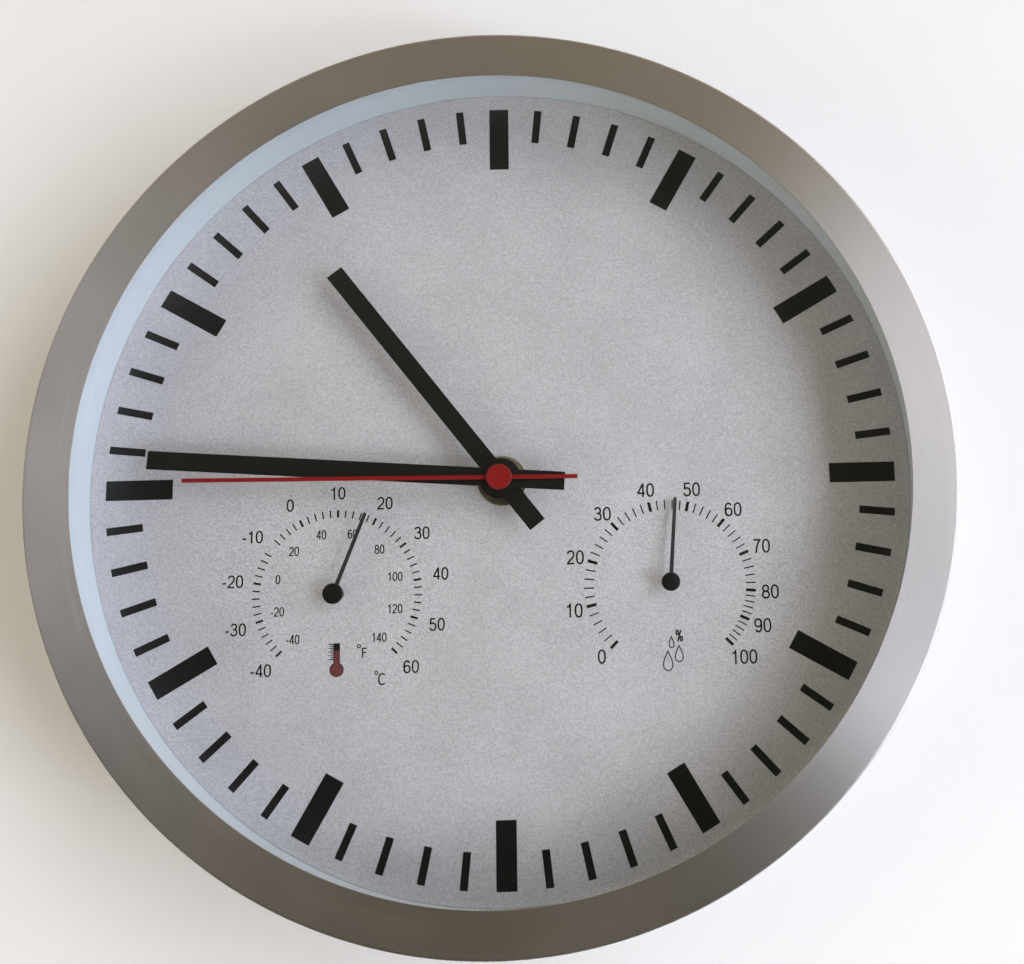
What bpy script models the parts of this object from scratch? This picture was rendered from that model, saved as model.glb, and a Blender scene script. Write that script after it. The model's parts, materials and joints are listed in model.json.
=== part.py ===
"""Wall clock with a thermometer and a hygrometer in its dial.

A deep brushed aluminium rim holds the glass, a white inner ring and the dial. Behind the dial sit a
quartz movement with two stepping motors and their gear trains, and two coil instruments.

Each piece is modelled in the clock's own frame: X to three o'clock, Y to twelve o'clock, and Z from the
wall towards the viewer, zero on the wall. The empty "clock_axis" turns that frame upright, so in the
world the dial faces -Y and the screw that the clock hangs on crosses the wall at the world's origin.
"""
import math

import bmesh
import bpy
from mathutils import Matrix

# Clearances between pieces
RUN = 0.0003
SEAT = 0.0002
PRESS = 0.00015
OVERRUN = 0.001
WELD = 0.000001
# outlines are filled in millimetres, where the small teeth stay well apart
DRAWING_SCALE = 1000

# How finely round pieces are cut, and where their edges stay sharp
ROUND_SIDES = 20
BORE_SIDES = 16
PIN_SIDES = 12
SMALL_SIDES = 8
SHARP_ANGLE = math.radians(35)
BEVEL_ANGLE = math.radians(50)

# Aluminium rim
CASE_RADIUS = 0.175
CASE_WALL = 0.0015
BAND_WIDTH = 0.0175
BAND_THICKNESS = 0.0024
EDGE_ROUNDING = 0.0016
LIP_ROUNDING = 0.0006
RIM_RISE = 0.031
RING_SIDES = 60

# Back panel
PANEL_THICKNESS = 0.0025
WINDOW_MARGIN = 0.003
WINDOW_CORNER = 0.004
VENT_COUNT = 5
VENT_RADIUS = 0.015
VENT_WIDTH = 0.0022
VENT_PITCH = 0.0052
PANEL_SCREWS = 6
PANEL_SCREW_RADIUS = 0.0012
PANEL_SCREW_LENGTH = 0.0075
PANEL_HEAD_RADIUS = 0.0027

# White inner ring, from the foot behind the dial to the glass
RING_REVEAL = 0.0078
RING_WALL = 0.0025
RING_DRAFT = 0.0008
SHELF_WIDTH = 0.004
BOSS_WIDTH = 0.009
BOSS_HEIGHT = 0.006
BOSS_LIFT = 0.0042
RIM_SCREWS = 4
RIM_SCREW_RADIUS = 0.0012
RIM_HEAD_RADIUS = 0.0024
RIM_HEAD_HEIGHT = 0.0012
RIM_SCREW_LENGTH = 0.0065

# Glass and its seal
GLASS_THICKNESS = 0.002
SEAL_THICKNESS = 0.001
SEAL_SETBACK = 0.003
SEAL_SIDES = 36
GLASS_MARGIN = 0.002

# Dial
DIAL_THICKNESS = 0.001
INSTRUMENT_SPREAD = 0.0664
INSTRUMENT_DROP = 0.0435
HYGROMETER_RISE = 0.0011
INSTRUMENT_HOLE = 0.003

# Hanger plate, with a keyhole whose slot ends on the wall screw
HANG_HEIGHT = 0.118
HANGER_WIDTH = 0.04
HANGER_HEIGHT = 0.03
HANGER_THICKNESS = 0.001
HANGER_CORNER = 0.003
KEY_SLOT_RADIUS = 0.0025
KEY_HEAD_RADIUS = 0.005
KEY_DROP = 0.011
HANGER_WINDOW_MARGIN = 0.002
HANGER_SCREW_OFFSET = 0.0145
HANGER_SCREW_RADIUS = 0.0012
HANGER_HEAD_RADIUS = 0.0024
HANGER_HEAD_HEIGHT = 0.0013
HEAD_CROWN_SHARE = 0.6

# Movement case
MOVEMENT_SIZE = 0.06
MOVEMENT_CORNER = 0.003
MOVEMENT_STANDOFF = 0.003
SHELL_WALL = 0.0015
LID_DEPTH = 0.0032
BATTERY_RADIUS = 0.0071
BATTERY_NUB_RADIUS = 0.0027
BATTERY_NUB_LENGTH = 0.0011
CONTACT_ROOM = 0.0034
CONTACT_THICKNESS = 0.0004
CONTACT_WIDTH = 0.008
CONTACT_RISE_SHARE = 0.7
CONTACT_FOLD_SHARE = 0.8
RUBBER_RADIUS = 0.012
RUBBER_THICKNESS = 0.0008

# Layers of the gear train, from the floor of the movement case
LAYER_GAP = 0.0007
WHEEL_THICKNESS = 0.0008
MAGNET_THICKNESS = 0.0012
PLATE_THICKNESS = 0.001
PIVOT_DEPTH = 0.0006
ARBOR_RADIUS = 0.0004
POST_RADIUS = 0.0006
HUB_SHARE = 2
COLLAR_SHARE = 2.5

# Gear teeth: straight-flanked, as moulded clock wheels have, with sizes as shares of the module
FINE_MODULE = 0.00036
MOTION_MODULE = 0.0005
ROOT_SHARE = 1.1
TIP_SHARE = 0.8
ROOT_WIDTH_SHARE = 0.58
TIP_WIDTH_SHARE = 0.22
PINION_TEETH = 6
SECONDS_TEETH = 36
SECONDS_IDLER_TEETH = 30
MINUTE_TEETH = 36
MINUTES_IDLER_TEETH = 30
CANNON_TEETH = 10
MOTION_TEETH = 30
MOTION_PINION_TEETH = 6
HOUR_TEETH = 24
SECONDS_IDLER_BEARING = math.radians(150)
SECONDS_ROTOR_BEARING = math.radians(200)
MINUTES_IDLER_BEARING = math.radians(40)
MINUTES_ROTOR_BEARING = math.radians(-30)
MOTION_BEARING = math.radians(180)

# Motors
MAGNET_RADIUS = 0.0028
STATOR_GAP = 0.0004
STATOR_THICKNESS = 0.0008
STATOR_RIM = 0.0008
STATOR_REACH = 0.0104
STATOR_ARM = 0.0025
COIL_OFFSET = 0.0072
COIL_RADIUS = 0.0024
BOBBIN_FLANGE = 0.0006
WINDING_DIP = 0.0004

# Electronics
BOARD_THICKNESS = 0.001
BOARD_LIFT = 0.002
BOARD_DEPTH = 0.0115
ROD_RADIUS = 0.003
ROD_MARGIN = 0.0032
AERIAL_RADIUS = 0.0042
AERIAL_LENGTH = 0.034
BUTTON_RADIUS = 0.0018
BUTTON_FLANGE_RADIUS = 0.0027
BUTTON_FLANGE_THICKNESS = 0.0006
BUTTON_PROUD = 0.0012
BUTTON_MARGIN = 0.0075

# Centre stack: arbors inside one another, then the brass fixings on the dial
SECOND_ARBOR_RADIUS = 0.0005
TUBE_WALL = 0.0006
TUBE_GAP = 0.00035
BUSH_WALL = 0.0012
BUSH_HEAD_STEP = 0.0006
BUSH_HEAD_HEIGHT = 0.0012
BUSH_PROUD = 0.0056
WASHER_RADIUS = 0.0101
WASHER_THICKNESS = 0.0008
NUT_FLATS = 0.0135
NUT_HEIGHT = 0.003
NUT_CHAMFER = 0.0005

# Hands, with heights above the dial
HAND_WIDTH = 0.0073
HAND_THICKNESS = 0.0006
HOUR_HAND_HEIGHT = 0.008
HOUR_HAND_REACH = 0.1087
HOUR_HAND_TAIL = 0.0236
HOUR_BOSS_RADIUS = 0.0081
MINUTE_HAND_RISE = 0.002
MINUTE_HAND_REACH = 0.1387
MINUTE_HAND_TAIL = 0.0256
MINUTE_BOSS_RADIUS = 0.0072
SECOND_HAND_RISE = 0.002
SECOND_HAND_REACH = 0.1238
SECOND_HAND_TAIL = 0.0307
SECOND_HAND_WIDTH = 0.0016
SECOND_HAND_THICKNESS = 0.0004
SECOND_BOSS_RADIUS = 0.003
CAP_RADIUS = 0.00498
CAP_HEIGHT = 0.0013
CAP_SKIN = 0.0005
CAP_ROUNDING = 0.0003
HOUR_ANGLE = math.radians(322.3)
MINUTE_ANGLE = math.radians(274.35)
SECOND_ANGLE = math.radians(270.8)

# Thermometer and hygrometer behind the dial, and their pointers before it
CUP_RADIUS = 0.021
CUP_DEPTH = 0.009
CUP_WALL = 0.0012
BRIDGE_WIDTH = 0.006
BRIDGE_THICKNESS = 0.001
INSTRUMENT_ARBOR_RADIUS = 0.0006
COLLET_RADIUS = 0.0016
STRIP_THICKNESS = 0.0004
STRIP_WIDTH = 0.004
STRIP_TURNS = 4
STRIP_PITCH = 0.0027
STRIP_POINTS_PER_TURN = 12
POINTER_HEIGHT = 0.0048
POINTER_THICKNESS = 0.0004
POINTER_WIDTH = 0.0015
POINTER_REACH = 0.034
POINTER_HUB_HEIGHT = 0.0013
POINTER_TAIL_SHARE = 0.8
POINTER_BOSS_SHARE = 0.9
THERMOMETER_HUB_RADIUS = 0.00405
HYGROMETER_HUB_RADIUS = 0.0037
THERMOMETER_ANGLE = math.radians(21.4)
HYGROMETER_ANGLE = math.radians(4.9)

# Radii worked out from the sizes above
RIM_INSIDE = CASE_RADIUS - CASE_WALL
LIP_RADIUS = CASE_RADIUS - BAND_WIDTH
RING_INSIDE = LIP_RADIUS + RING_REVEAL
RING_OUTSIDE = RING_INSIDE + RING_DRAFT + RING_WALL
SHELF_INSIDE = RING_INSIDE - SHELF_WIDTH
FLANGE_RADIUS = RIM_INSIDE - RUN
GLASS_RADIUS = RIM_INSIDE - GLASS_MARGIN
DIAL_RADIUS = RING_INSIDE - RUN
MINUTE_TUBE_INSIDE = SECOND_ARBOR_RADIUS + TUBE_GAP
MINUTE_TUBE_RADIUS = MINUTE_TUBE_INSIDE + TUBE_WALL
HOUR_TUBE_INSIDE = MINUTE_TUBE_RADIUS + TUBE_GAP
HOUR_TUBE_RADIUS = HOUR_TUBE_INSIDE + TUBE_WALL
BUSH_INSIDE = HOUR_TUBE_RADIUS + RUN
BUSH_RADIUS = BUSH_INSIDE + BUSH_WALL
BUSH_HEAD_RADIUS = BUSH_RADIUS + BUSH_HEAD_STEP
PANEL_SCREW_CIRCLE = (SHELF_INSIDE + RING_WALL + FLANGE_RADIUS) / 2

# Heights above the wall, from the back panel forwards
RING_FOOT = PANEL_THICKNESS + RUN
MOVEMENT_BACK = PANEL_THICKNESS + MOVEMENT_STANDOFF
FLOOR = MOVEMENT_BACK + SHELL_WALL
MAGNET_Z = FLOOR + LAYER_GAP
SECONDS_IDLER_Z = MAGNET_Z + MAGNET_THICKNESS + LAYER_GAP
SECONDS_WHEEL_Z = SECONDS_IDLER_Z + WHEEL_THICKNESS + LAYER_GAP
PLATE_Z = SECONDS_WHEEL_Z + WHEEL_THICKNESS + LAYER_GAP
MINUTES_IDLER_Z = PLATE_Z + PLATE_THICKNESS + LAYER_GAP
MINUTE_WHEEL_Z = MINUTES_IDLER_Z + WHEEL_THICKNESS + LAYER_GAP
MOTION_Z = MINUTE_WHEEL_Z + WHEEL_THICKNESS + LAYER_GAP
HOUR_WHEEL_Z = MOTION_Z + WHEEL_THICKNESS + LAYER_GAP
CEILING = HOUR_WHEEL_Z + WHEEL_THICKNESS + LAYER_GAP
MOVEMENT_FRONT = CEILING + SHELL_WALL
LID_SEAM = MOVEMENT_FRONT - LID_DEPTH
RUBBER_Z = MOVEMENT_FRONT + SEAT
DIAL_BACK = RUBBER_Z + RUBBER_THICKNESS + SEAT
DIAL_FACE = DIAL_BACK + DIAL_THICKNESS
SHELF_TOP = DIAL_BACK - SEAT
CASE_DEPTH = DIAL_FACE + RIM_RISE
LIP_UNDERSIDE = CASE_DEPTH - BAND_THICKNESS
SEAL_Z = LIP_UNDERSIDE - SEAT - SEAL_THICKNESS
GLASS_Z = SEAL_Z - SEAT - GLASS_THICKNESS
RING_TOP = GLASS_Z - SEAT
HOUR_HAND_Z = DIAL_FACE + HOUR_HAND_HEIGHT
MINUTE_HAND_Z = HOUR_HAND_Z + MINUTE_HAND_RISE
SECOND_HAND_Z = MINUTE_HAND_Z + SECOND_HAND_RISE
CAP_Z = SECOND_HAND_Z + SECOND_HAND_THICKNESS + SEAT
CUP_BACK = DIAL_BACK - SEAT - CUP_DEPTH
BRIDGE_Z = CUP_BACK - SEAT - BRIDGE_THICKNESS
POINTER_Z = DIAL_FACE + POINTER_HEIGHT

# Centre distances of the gears
CANNON_MODULE = (MOTION_PINION_TEETH + HOUR_TEETH) * MOTION_MODULE / (CANNON_TEETH + MOTION_TEETH)
INSTRUMENTS = {"thermometer": (-INSTRUMENT_SPREAD, -INSTRUMENT_DROP),
               "hygrometer": (INSTRUMENT_SPREAD, HYGROMETER_RISE - INSTRUMENT_DROP)}
CAVITY = MOVEMENT_SIZE / 2 - SHELL_WALL
BATTERY_LENGTH = 2 * (CAVITY - CONTACT_ROOM) - BATTERY_NUB_LENGTH
BATTERY_Y = -CAVITY + RUN + BATTERY_RADIUS
DIVIDER_LOW = BATTERY_Y + BATTERY_RADIUS + RUN
DIVIDER_HIGH = DIVIDER_LOW + SHELL_WALL
BOARD_LOW = CAVITY - RUN - BOARD_DEPTH
PLATE_HIGH = BOARD_LOW - RUN
ROD_LENGTH = 2 * (CAVITY - RUN - ROD_MARGIN)
BUTTON_SPREAD = CAVITY - BUTTON_MARGIN

# Colours as linear RGB, with roughness and metallic value
ALUMINIUM = ("brushed_aluminium", (0.62, 0.60, 0.57), 0.34, 1.0)
WHITE_PLASTIC = ("white_plastic", (0.72, 0.75, 0.78), 0.42, 0.0)
BACK_BOARD = ("grey_board", (0.30, 0.30, 0.31), 0.7, 0.0)
DIAL_PAINT = ("silver_dial_paint", (0.52, 0.53, 0.55), 0.5, 0.25)
CLEAR_GLASS = ("clear_glass", (0.95, 0.98, 0.97), 0.03, 0.0)
BLACK_FOAM = ("black_foam", (0.02, 0.02, 0.02), 0.9, 0.0)
BLACK_PAINT = ("black_hand_paint", (0.012, 0.011, 0.010), 0.45, 0.0)
RED_PAINT = ("red_hand_paint", (0.50, 0.015, 0.02), 0.35, 0.0)
BLACK_PLASTIC = ("black_moulding", (0.018, 0.018, 0.019), 0.5, 0.0)
BRASS = ("brass", (0.62, 0.46, 0.20), 0.35, 1.0)
STEEL = ("steel", (0.56, 0.57, 0.58), 0.35, 1.0)
NATURAL_PLASTIC = ("natural_gear_plastic", (0.70, 0.68, 0.60), 0.45, 0.0)
YELLOW_PLASTIC = ("yellow_gear_plastic", (0.70, 0.52, 0.10), 0.45, 0.0)
COPPER = ("enamelled_copper", (0.55, 0.20, 0.08), 0.4, 1.0)
FERRITE = ("ferrite", (0.05, 0.05, 0.055), 0.6, 0.0)
BOARD_GREEN = ("board_green", (0.03, 0.16, 0.07), 0.5, 0.0)
RUBBER = ("rubber", (0.03, 0.03, 0.03), 0.85, 0.0)
BATTERY_WRAP = ("battery_wrap", (0.10, 0.11, 0.13), 0.4, 0.3)
BIMETAL = ("bimetal", (0.50, 0.38, 0.24), 0.4, 1.0)
INSTRUMENT_PLASTIC = ("instrument_plastic", (0.25, 0.26, 0.27), 0.55, 0.0)


def clear_scene():
    """Remove what the opening file holds and make the two collections."""
    for obj in list(bpy.data.objects):
        bpy.data.objects.remove(obj, do_unlink=True)
    made = []
    for name in ("weather_station_wall_clock", "cutters"):
        group = bpy.data.collections.new(name)
        bpy.context.scene.collection.children.link(group)
        made.append(group)
    axis = bpy.data.objects.new("clock_axis", None)
    made[0].objects.link(axis)
    axis.location = (0, 0, -HANG_HEIGHT)
    axis.rotation_euler = (math.radians(90), 0, 0)
    return made[0], made[1], axis


PARTS, CUTTERS, CLOCK_AXIS = clear_scene()


def material(look):
    """The Principled material of one finish, made once."""
    name, colour, roughness, metallic = look
    found = bpy.data.materials.get(name)
    if found:
        return found
    made = bpy.data.materials.new(name)
    made.use_nodes = True
    made.diffuse_color = (*colour, 1)
    shader = made.node_tree.nodes["Principled BSDF"]
    shader.inputs["Base Color"].default_value = (*colour, 1)
    shader.inputs["Roughness"].default_value = roughness
    shader.inputs["Metallic"].default_value = metallic
    return made


def piece(name, mesh, look, at=(0, 0), z=0, spin=0):
    """Put a mesh in the clock as a named part, its origin at (at, z), turned by spin about Z."""
    obj = bpy.data.objects.new(name, mesh)
    PARTS.objects.link(obj)
    obj.parent = CLOCK_AXIS
    obj.location = (*at, z)
    obj.rotation_euler = (0, 0, spin)
    mesh.materials.clear()
    mesh.materials.append(material(look))
    mesh.shade_smooth()
    mesh.set_sharp_from_angle(angle=SHARP_ANGLE)
    return obj


def as_tool(obj):
    """Make an object a cutter: it shapes other pieces and is no part itself."""
    PARTS.objects.unlink(obj)
    CUTTERS.objects.link(obj)
    obj.display_type = "WIRE"
    obj.hide_render = True
    return obj


def combine(target, tools, operation):
    """Add or cut each tool on the target with the exact solver."""
    for tool in tools:
        as_tool(tool)
        step = target.modifiers.new(operation.lower() + "_" + tool.name, "BOOLEAN")
        step.operation = operation
        step.solver = "EXACT"
        step.object = tool
    return target


def bevel(obj, width):
    """Round an object's sharp edges by a small width."""
    step = obj.modifiers.new("edges", "BEVEL")
    step.width = width
    step.segments = 1
    step.limit_method = "ANGLE"
    step.angle_limit = BEVEL_ANGLE
    return obj


def turned(name, profile, look, sides=ROUND_SIDES, closed=True, **place):
    """A turned shape: a profile of (radius, height) points, down the outside first, about Z."""
    mesh = bpy.data.meshes.new(name)
    edges = [(i, i + 1) for i in range(len(profile) - 1)]
    if closed:
        edges.append((len(profile) - 1, 0))
    mesh.from_pydata([(radius, 0, height) for radius, height in profile], edges, [])
    obj = piece(name, mesh, look, **place)
    step = obj.modifiers.new("turn", "SCREW")
    step.axis = "Z"
    step.angle = math.tau
    step.steps = sides
    step.render_steps = sides
    step.use_merge_vertices = True
    step.merge_threshold = WELD
    step.use_smooth_shade = True
    return obj


def rod(name, radius, low, high, look, sides=BORE_SIDES, **place):
    """A plain cylinder from one height to another."""
    mesh = bpy.data.meshes.new(name)
    build = bmesh.new()
    bmesh.ops.create_cone(build, cap_ends=True, segments=sides, radius1=radius, radius2=radius,
                          depth=high - low, matrix=Matrix.Translation((0, 0, (low + high) / 2)))
    build.to_mesh(mesh)
    build.free()
    return piece(name, mesh, look, **place)


def block(name, size, look, **place):
    """A box of the given size, its origin at the middle of its bottom face."""
    mesh = bpy.data.meshes.new(name)
    build = bmesh.new()
    bmesh.ops.create_cube(build, size=1)
    bmesh.ops.translate(build, verts=build.verts, vec=(0, 0, 0.5))
    bmesh.ops.scale(build, verts=build.verts, vec=size)
    build.to_mesh(mesh)
    build.free()
    return piece(name, mesh, look, **place)


def plate(name, outlines, thickness, look, **place):
    """A flat piece: the first outline is its edge, the others are holes; its bottom is at z."""
    curve = bpy.data.curves.new(name, "CURVE")
    curve.dimensions = "2D"
    curve.fill_mode = "BOTH"
    curve.extrude = thickness * DRAWING_SCALE / 2
    for outline in outlines:
        spline = curve.splines.new("POLY")
        spline.points.add(len(outline) - 1)
        for point, (x, y) in zip(spline.points, outline):
            point.co = (x * DRAWING_SCALE, y * DRAWING_SCALE, 0, 1)
        spline.use_cyclic_u = True
    drawn = bpy.data.objects.new(name + "_outline", curve)
    PARTS.objects.link(drawn)
    bpy.context.view_layer.update()
    mesh = bpy.data.meshes.new_from_object(drawn.evaluated_get(bpy.context.evaluated_depsgraph_get()))
    bpy.data.objects.remove(drawn)
    bpy.data.curves.remove(curve)
    mesh.name = name
    build = bmesh.new()
    build.from_mesh(mesh)
    bmesh.ops.remove_doubles(build, verts=build.verts, dist=WELD * DRAWING_SCALE)
    bmesh.ops.recalc_face_normals(build, faces=build.faces)
    bmesh.ops.scale(build, verts=build.verts, vec=(1 / DRAWING_SCALE,) * 3)
    bmesh.ops.translate(build, verts=build.verts, vec=(0, 0, thickness / 2))
    build.to_mesh(mesh)
    build.free()
    return piece(name, mesh, look, **place)


def polar(radius, angle):
    """A point at a radius and an angle, counted from three o'clock against the clock."""
    return (radius * math.cos(angle), radius * math.sin(angle))


def offset(start, distance, angle):
    """The point at a distance and an angle from another point."""
    x, y = polar(distance, angle)
    return (start[0] + x, start[1] + y)


def circle(radius, sides, centre=(0, 0)):
    """The corner points of a round outline."""
    return [offset(centre, radius, math.tau * i / sides) for i in range(sides)]


def arc(radius, start, end, steps, centre=(0, 0)):
    """Points along an arc, both ends included."""
    return [offset(centre, radius, start + (end - start) * i / steps) for i in range(steps + 1)]


def rounded_box(left, low, right, high, corner, steps=3):
    """The outline of a rectangle with round corners."""
    quarter = math.pi / 2
    middles = ((right - corner, high - corner), (left + corner, high - corner),
               (left + corner, low + corner), (right - corner, low + corner))
    points = []
    for turn, middle in enumerate(middles):
        points += arc(corner, turn * quarter, (turn + 1) * quarter, steps, middle)
    return points


def slot_outline(centre, length, width):
    """The outline of an upright slot with round ends."""
    reach = length / 2 - width / 2
    top = arc(width / 2, 0, math.pi, 2, (centre[0], centre[1] + reach))
    bottom = arc(width / 2, math.pi, math.tau, 2, (centre[0], centre[1] - reach))
    return top + bottom


def rim_profile():
    """Section of the rim: side wall, rounded outer edge, flat band, and the lip over the glass."""
    outer = arc(EDGE_ROUNDING, 0, math.pi / 2, 2, (CASE_RADIUS - EDGE_ROUNDING, CASE_DEPTH - EDGE_ROUNDING))
    lip = arc(LIP_ROUNDING, math.pi / 2, math.pi, 1, (LIP_RADIUS + LIP_ROUNDING, CASE_DEPTH - LIP_ROUNDING))
    inside = [(LIP_RADIUS, LIP_UNDERSIDE), (RIM_INSIDE, LIP_UNDERSIDE), (RIM_INSIDE, 0)]
    loop = [(CASE_RADIUS, 0)] + outer + lip + inside
    return loop[::-1]


def rim_screw_angles():
    """Directions of the screws through the rim's side wall, between the quarter hours."""
    return [math.tau * (i + 0.5) / RIM_SCREWS for i in range(RIM_SCREWS)]


def boss_middle():
    """Height of the bosses and screws that tie the inner ring to the rim."""
    return RING_FOOT + RING_WALL + BOSS_LIFT


def along_radius(obj, angle, height):
    """Lay a piece that was made along Z out along a radius of the clock."""
    obj.location = (0, 0, height)
    obj.rotation_euler = (0, math.pi / 2, angle)
    return obj


def make_rim():
    """Spun aluminium rim with its four screw holes."""
    rim = turned("case_rim", rim_profile(), ALUMINIUM, sides=RING_SIDES)
    holes = []
    for i, angle in enumerate(rim_screw_angles()):
        hole = rod(f"rim_hole_{i + 1}", RIM_SCREW_RADIUS + RUN, RIM_INSIDE - OVERRUN,
                   CASE_RADIUS + OVERRUN, ALUMINIUM, sides=SMALL_SIDES)
        holes.append(along_radius(hole, angle, boss_middle()))
    combine(rim, holes, "DIFFERENCE")


def make_inner_ring():
    """White ring that carries the dial on a shelf and the glass on its top edge."""
    foot_top = RING_FOOT + RING_WALL
    wall_outside = SHELF_INSIDE + RING_WALL
    shelf_underside = SHELF_TOP - RING_WALL
    profile = [(RING_OUTSIDE, RING_TOP), (RING_OUTSIDE, shelf_underside), (wall_outside, shelf_underside),
               (wall_outside, foot_top), (FLANGE_RADIUS, foot_top), (FLANGE_RADIUS, RING_FOOT),
               (SHELF_INSIDE, RING_FOOT), (SHELF_INSIDE, SHELF_TOP), (RING_INSIDE, SHELF_TOP),
               (RING_INSIDE + RING_DRAFT, RING_TOP)]
    ring = turned("inner_ring", profile, WHITE_PLASTIC, sides=RING_SIDES)
    boss_inside = wall_outside - RING_WALL / 2
    boss_outside = FLANGE_RADIUS - RUN
    bosses, holes = [], []
    for i, angle in enumerate(rim_screw_angles()):
        boss = block(f"ring_boss_{i + 1}", (boss_outside - boss_inside, BOSS_WIDTH, BOSS_HEIGHT),
                     WHITE_PLASTIC, at=polar((boss_inside + boss_outside) / 2, angle),
                     z=boss_middle() - BOSS_HEIGHT / 2, spin=angle)
        bosses.append(boss)
        hole = rod(f"boss_hole_{i + 1}", RIM_SCREW_RADIUS + PRESS, SHELF_INSIDE - OVERRUN,
                   FLANGE_RADIUS + OVERRUN, WHITE_PLASTIC, sides=SMALL_SIDES)
        holes.append(along_radius(hole, angle, boss_middle()))
    for i, angle in enumerate(panel_screw_angles()):
        holes.append(rod(f"foot_hole_{i + 1}", PANEL_SCREW_RADIUS + PRESS, RING_FOOT - OVERRUN,
                         foot_top + OVERRUN, WHITE_PLASTIC, sides=SMALL_SIDES,
                         at=polar(PANEL_SCREW_CIRCLE, angle), spin=angle))
    combine(ring, bosses, "UNION")
    combine(ring, holes, "DIFFERENCE")


def make_rim_screws():
    """Pan-head screws through the rim into the ring's bosses."""
    for i, angle in enumerate(rim_screw_angles()):
        head = CASE_RADIUS + SEAT
        start = CASE_RADIUS - RIM_SCREW_LENGTH
        crown = RIM_HEAD_RADIUS * HEAD_CROWN_SHARE
        profile = [(0, head + RIM_HEAD_HEIGHT), (crown, head + RIM_HEAD_HEIGHT),
                   (RIM_HEAD_RADIUS, head + RIM_HEAD_HEIGHT / 2), (RIM_HEAD_RADIUS, head),
                   (RIM_SCREW_RADIUS, head), (RIM_SCREW_RADIUS, start), (0, start - RIM_SCREW_RADIUS)]
        screw = turned(f"rim_screw_{i + 1}", profile, STEEL, sides=SMALL_SIDES, closed=False)
        along_radius(screw, angle, boss_middle())


def panel_screw_angles():
    """Directions of the back panel's screws, each over the middle of a facet of the ring."""
    half_facet = math.pi / RING_SIDES
    return [math.tau * (i + 0.5) / PANEL_SCREWS + half_facet for i in range(PANEL_SCREWS)]


def vent_outlines():
    """A round group of slots behind each instrument, which lets the room's air reach its coil."""
    slots = []
    for x, y in INSTRUMENTS.values():
        for i in range(VENT_COUNT):
            shift = (i - (VENT_COUNT - 1) / 2) * VENT_PITCH
            length = 2 * math.sqrt(VENT_RADIUS ** 2 - shift ** 2)
            slots.append(slot_outline((x + shift, y), length, VENT_WIDTH))
    return slots


def keyhole_outline():
    """Keyhole: a round entry below a slot, whose top ends round the wall screw."""
    half_angle = math.asin(KEY_SLOT_RADIUS / KEY_HEAD_RADIUS)
    entry = (0, HANG_HEIGHT - KEY_DROP)
    top = arc(KEY_SLOT_RADIUS, 0, math.pi, 6, (0, HANG_HEIGHT))
    quarter = math.pi / 2
    return top + arc(KEY_HEAD_RADIUS, quarter + half_angle, quarter + math.tau - half_angle, 12, entry)


def hanger_middle():
    """Height on the dial of the hanger plate's middle, half way along the keyhole."""
    return HANG_HEIGHT - KEY_DROP / 2 - KEY_SLOT_RADIUS / 2


def hanger_screw_places():
    """One screw at each side of the keyhole."""
    return [(-HANGER_SCREW_OFFSET, hanger_middle()), (HANGER_SCREW_OFFSET, hanger_middle())]


def splay_hole(obj, centre, narrow, wide):
    """Widen a hole at its rear face into a countersink."""
    for vertex in obj.data.vertices:
        across, up = vertex.co.x - centre[0], vertex.co.y - centre[1]
        if vertex.co.z < PANEL_THICKNESS / 2 and math.hypot(across, up) < (narrow + wide) / 2:
            vertex.co.x = centre[0] + across * wide / narrow
            vertex.co.y = centre[1] + up * wide / narrow


def make_back_panel():
    """Flat back with the movement's window, the keyhole's window, vents and countersunk screw holes."""
    reach = MOVEMENT_SIZE / 2 + WINDOW_MARGIN
    window = rounded_box(-reach, -reach, reach, reach, WINDOW_CORNER)
    side = KEY_HEAD_RADIUS + HANGER_WINDOW_MARGIN
    keyhole_window = rounded_box(-side, HANG_HEIGHT - KEY_DROP - side, side,
                                 HANG_HEIGHT + KEY_SLOT_RADIUS + HANGER_WINDOW_MARGIN,
                                 HANGER_WINDOW_MARGIN)
    outlines = [circle(FLANGE_RADIUS, RING_SIDES), window, keyhole_window] + vent_outlines()
    outlines += [circle(HANGER_SCREW_RADIUS + PRESS, SMALL_SIDES, place) for place in hanger_screw_places()]
    outlines += [circle(PANEL_SCREW_RADIUS + RUN, SMALL_SIDES, polar(PANEL_SCREW_CIRCLE, angle))
                 for angle in panel_screw_angles()]
    panel = plate("back_panel", outlines, PANEL_THICKNESS, BACK_BOARD)
    for angle in panel_screw_angles():
        centre = polar(PANEL_SCREW_CIRCLE, angle)
        splay_hole(panel, centre, PANEL_SCREW_RADIUS + RUN, PANEL_HEAD_RADIUS + RUN)


def make_panel_screws():
    """Countersunk screws that hold the back panel to the foot of the inner ring."""
    for i, angle in enumerate(panel_screw_angles()):
        profile = [(0, PANEL_SCREW_LENGTH), (PANEL_SCREW_RADIUS, PANEL_SCREW_LENGTH - PANEL_SCREW_RADIUS),
                   (PANEL_SCREW_RADIUS, PANEL_THICKNESS), (PANEL_HEAD_RADIUS, SEAT / 2), (0, SEAT / 2)]
        turned(f"panel_screw_{i + 1}", profile, STEEL, sides=SMALL_SIDES, closed=False,
               at=polar(PANEL_SCREW_CIRCLE, angle))


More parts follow.
